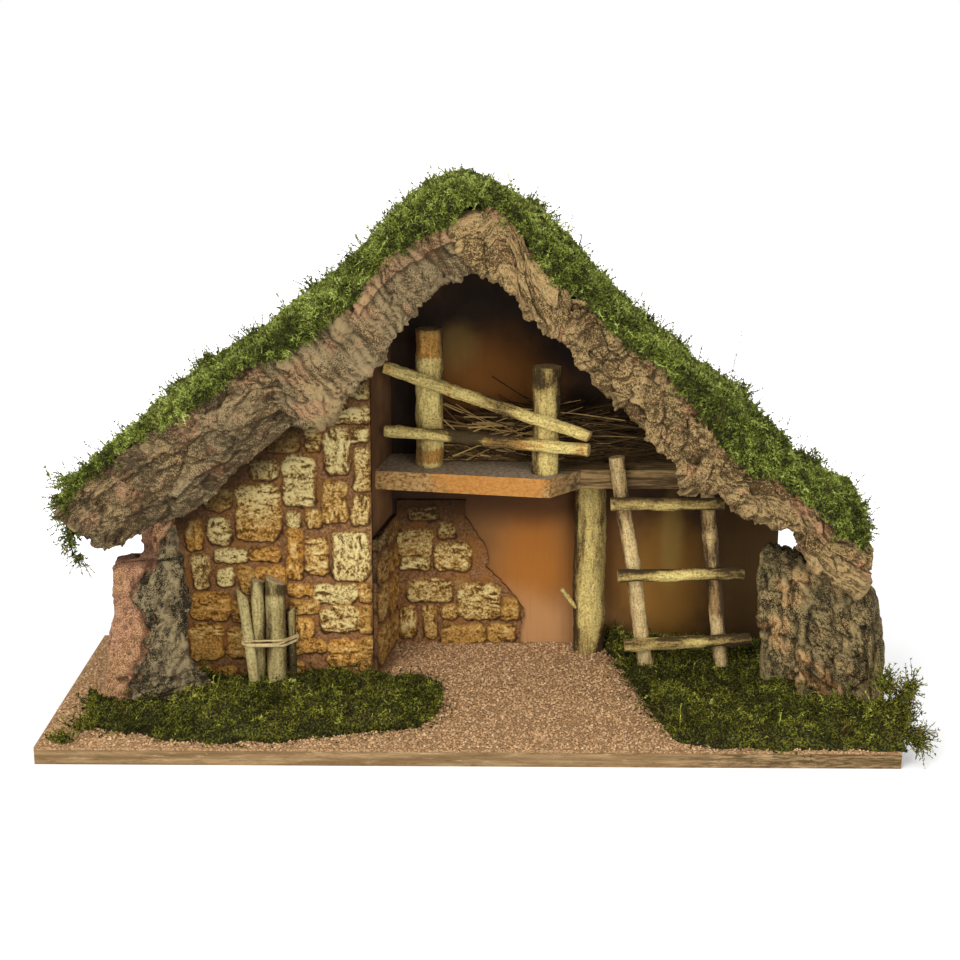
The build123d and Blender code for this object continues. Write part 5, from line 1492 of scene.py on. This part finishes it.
def brushPiece():
    # Each twig is a three-sided tube through four points of a shallow bend, thinner to its tip
    draw = np.random.default_rng(brush["seed"])
    count = brush["count"]
    left, right = brush["left"], brush["right"]
    x = left + (right - left) * draw.uniform(0.05, 0.95, count)
    y = draw.uniform(*brush["depth"], count)
    middle, reach, low, rise = brush["heap"]
    heap = low + rise * np.exp(-((x - middle) / reach) ** 2)
    z = brush["floor"] + heap * draw.uniform(0, 1, count) ** 1.3
    tilt = draw.normal(0.0, 0.38, count) * draw.uniform(0.2, 1.0, count)
    tilt = tilt + 0.12 * (x - 60) / 80 * (z - 148) / 20
    heading = np.stack([np.cos(tilt), draw.normal(0, 0.06, count), np.sin(tilt)], -1)
    length = draw.uniform(*brush["length"], count)
    share = np.linspace(-0.5, 0.5, 4)
    sag = draw.normal(0, 3.0, count)
    spine = np.stack([x, y, z], -1)[:, None] + heading[:, None] * (length[:, None] * share)[..., None]
    spine[..., 2] += sag[:, None] * (0.25 - share ** 2)[None] * 4
    spine[..., 0] = np.clip(spine[..., 0], left - 4, right + 2)
    pitch = math.radians(roof["pitch"][1])
    ceiling = roof["ridgeZ"] - 8 / math.cos(pitch) - (spine[..., 0] - roof["ridgeX"]) * math.tan(pitch)
    spine[..., 2] = np.clip(spine[..., 2], brush["floor"] - 0.4, ceiling)
    spine[..., 1] = np.clip(spine[..., 1], brush["depth"][0] - 1, brush["depth"][1] + 1)
    radius = draw.uniform(*brush["radius"], count)[:, None] * np.linspace(1.1, 0.5, 4)[None]
    angle = 2 * np.pi * np.arange(3) / 3
    ring = np.stack([np.zeros(3), np.cos(angle), np.sin(angle)], -1)
    points = (spine[:, :, None] + ring[None, None] * radius[..., None, None]).reshape(count, 12, 3)
    # Painted shade: twigs to the rear are darker; twigs to the right are also darker than those to the left
    paintedLight = (0.25 + 0.9 * ease(y, 74, 63)) * (1.5 - 1.1 * ease(x, 50, 85))
    tone = draw.beta(0.7, 1.5, (count, 1)) * paintedLight[:, None] + draw.uniform(-0.05, 0.05, (count, 12))
    hue = draw.uniform(0.1, 0.8, (count, 1)) + draw.uniform(-0.05, 0.05, (count, 12))
    ends = np.array([[0, 2, 1], [9, 10, 11]])
    putMany("brushwood_twigs", points, [gridFaces(4, 3, True), ends], ("twigs", "brushwood", ("brushwood",)),
            tone, hue)


brushPiece()
print("crumbs and brushwood made")

# Stage: floor, lights, world and camera

stageLook = {"floor": 0.8, "ambient": 0.5, "shadowReach": 0.75, "shadowLift": 0.22}
lamps = {  # place, aim, size, power
    "keyLamp": ((-0.75, -1.15, 1.15), (0, 0, 0.15), 0.9, 22.0),
    "fillLamp": ((0.6, -1.35, 0.5), (0, 0, 0.15), 0.9, 11.0),
    "topLamp": ((0.1, 0.1, 1.6), (0, 0, 0.2), 1.2, 8.0),
}
view = {"place": (0.00698, -0.9362, 0.4048), "pitch": 15.409, "yaw": -0.05, "roll": 0.289, "lens": 60.0}
white = (1.0, 1.0, 1.0, 1.0)


def seenRays(tree):
    # 1 for rays that come from the camera, straight or by way of gloss or glass
    path = addNode(tree, "LightPath")
    kinds = ("Is Camera Ray", "Is Glossy Ray", "Is Transmission Ray")
    camera, gloss, glass = [Flow(tree, path, kind) for kind in kinds]
    return camera.op("MAXIMUM", gloss).op("MAXIMUM", glass)


def addFloor():
    # Lit like any floor near the object, and plain white to the camera further off
    mesh = bpy.data.meshes.new("floor")
    mesh.from_pydata([(-4, -4, 0), (4, -4, 0), (4, 6, 0), (-4, 6, 0)], [], [(0, 1, 2, 3)])
    floor = bpy.data.objects.new("floor", mesh)
    bpy.context.scene.collection.objects.link(floor)
    finish = Finish("paleFloor", 1.0)
    inputs = finish.shader.inputs
    inputs["Base Color"].default_value = (stageLook["floor"],) * 3 + (1.0,)
    inputs["Specular IOR Level"].default_value = 0.0
    inputs["Emission Color"].default_value = white
    place = finish.place((1 / stageLook["shadowReach"],) * 3)
    far = finish.ball(place).between(0.7, 0.0)
    shadow = {"Value": far, "To Min": stageLook["shadowLift"], "To Max": 1.0}
    strength = seenRays(finish.tree) * finish.value("MapRange", "Result", shadow)
    finish.tree.links.new(strength.socket, inputs["Emission Strength"])
    mesh.materials.append(finish.material)


def setWorld():
    world = bpy.data.worlds.new("studio")
    bpy.context.scene.world = world
    world.use_nodes = True
    tree = world.node_tree
    back = tree.nodes["Background"]
    back.inputs["Color"].default_value = white
    inputs = {"Value": seenRays(tree), "To Min": stageLook["ambient"], "To Max": 1.0}
    light = addNode(tree, "MapRange", inputs)
    tree.links.new(light.outputs["Result"], back.inputs["Strength"])


def addLamp(name, place, aim, size, power):
    lamp = bpy.data.lights.new(name, "AREA")
    lamp.energy = power
    lamp.size = size
    holder = bpy.data.objects.new(name, lamp)
    bpy.context.scene.collection.objects.link(holder)
    holder.location = place
    x, y, z = unit(np.array(aim) - np.array(place))
    holder.rotation_euler = (math.acos(-z), 0, math.atan2(y, x) - math.pi / 2)


def addCamera():
    lens = bpy.data.cameras.new("camera")
    lens.lens = view["lens"]
    lens.sensor_width = 36.0
    camera = bpy.data.objects.new("camera", lens)
    bpy.context.scene.collection.objects.link(camera)
    pitch, yaw, roll = [math.radians(view[key]) for key in ("pitch", "yaw", "roll")]
    forward = np.array([math.sin(yaw) * math.cos(pitch), math.cos(yaw) * math.cos(pitch), -math.sin(pitch)])
    right = np.array([math.cos(yaw), -math.sin(yaw), 0])
    up = np.cross(right, forward)
    turn = np.eye(4)
    turn[:3, 0] = math.cos(roll) * right + math.sin(roll) * up
    turn[:3, 1] = -math.sin(roll) * right + math.cos(roll) * up
    turn[:3, 2] = -forward
    turn[:3, 3] = view["place"]
    camera.matrix_world = Matrix(turn.tolist())
    bpy.context.scene.camera = camera


addFloor()
setWorld()
for name, lamp in lamps.items():
    addLamp(name, *lamp)
addCamera()
bpy.context.scene.view_settings.view_transform = "Standard"
print("stage set")
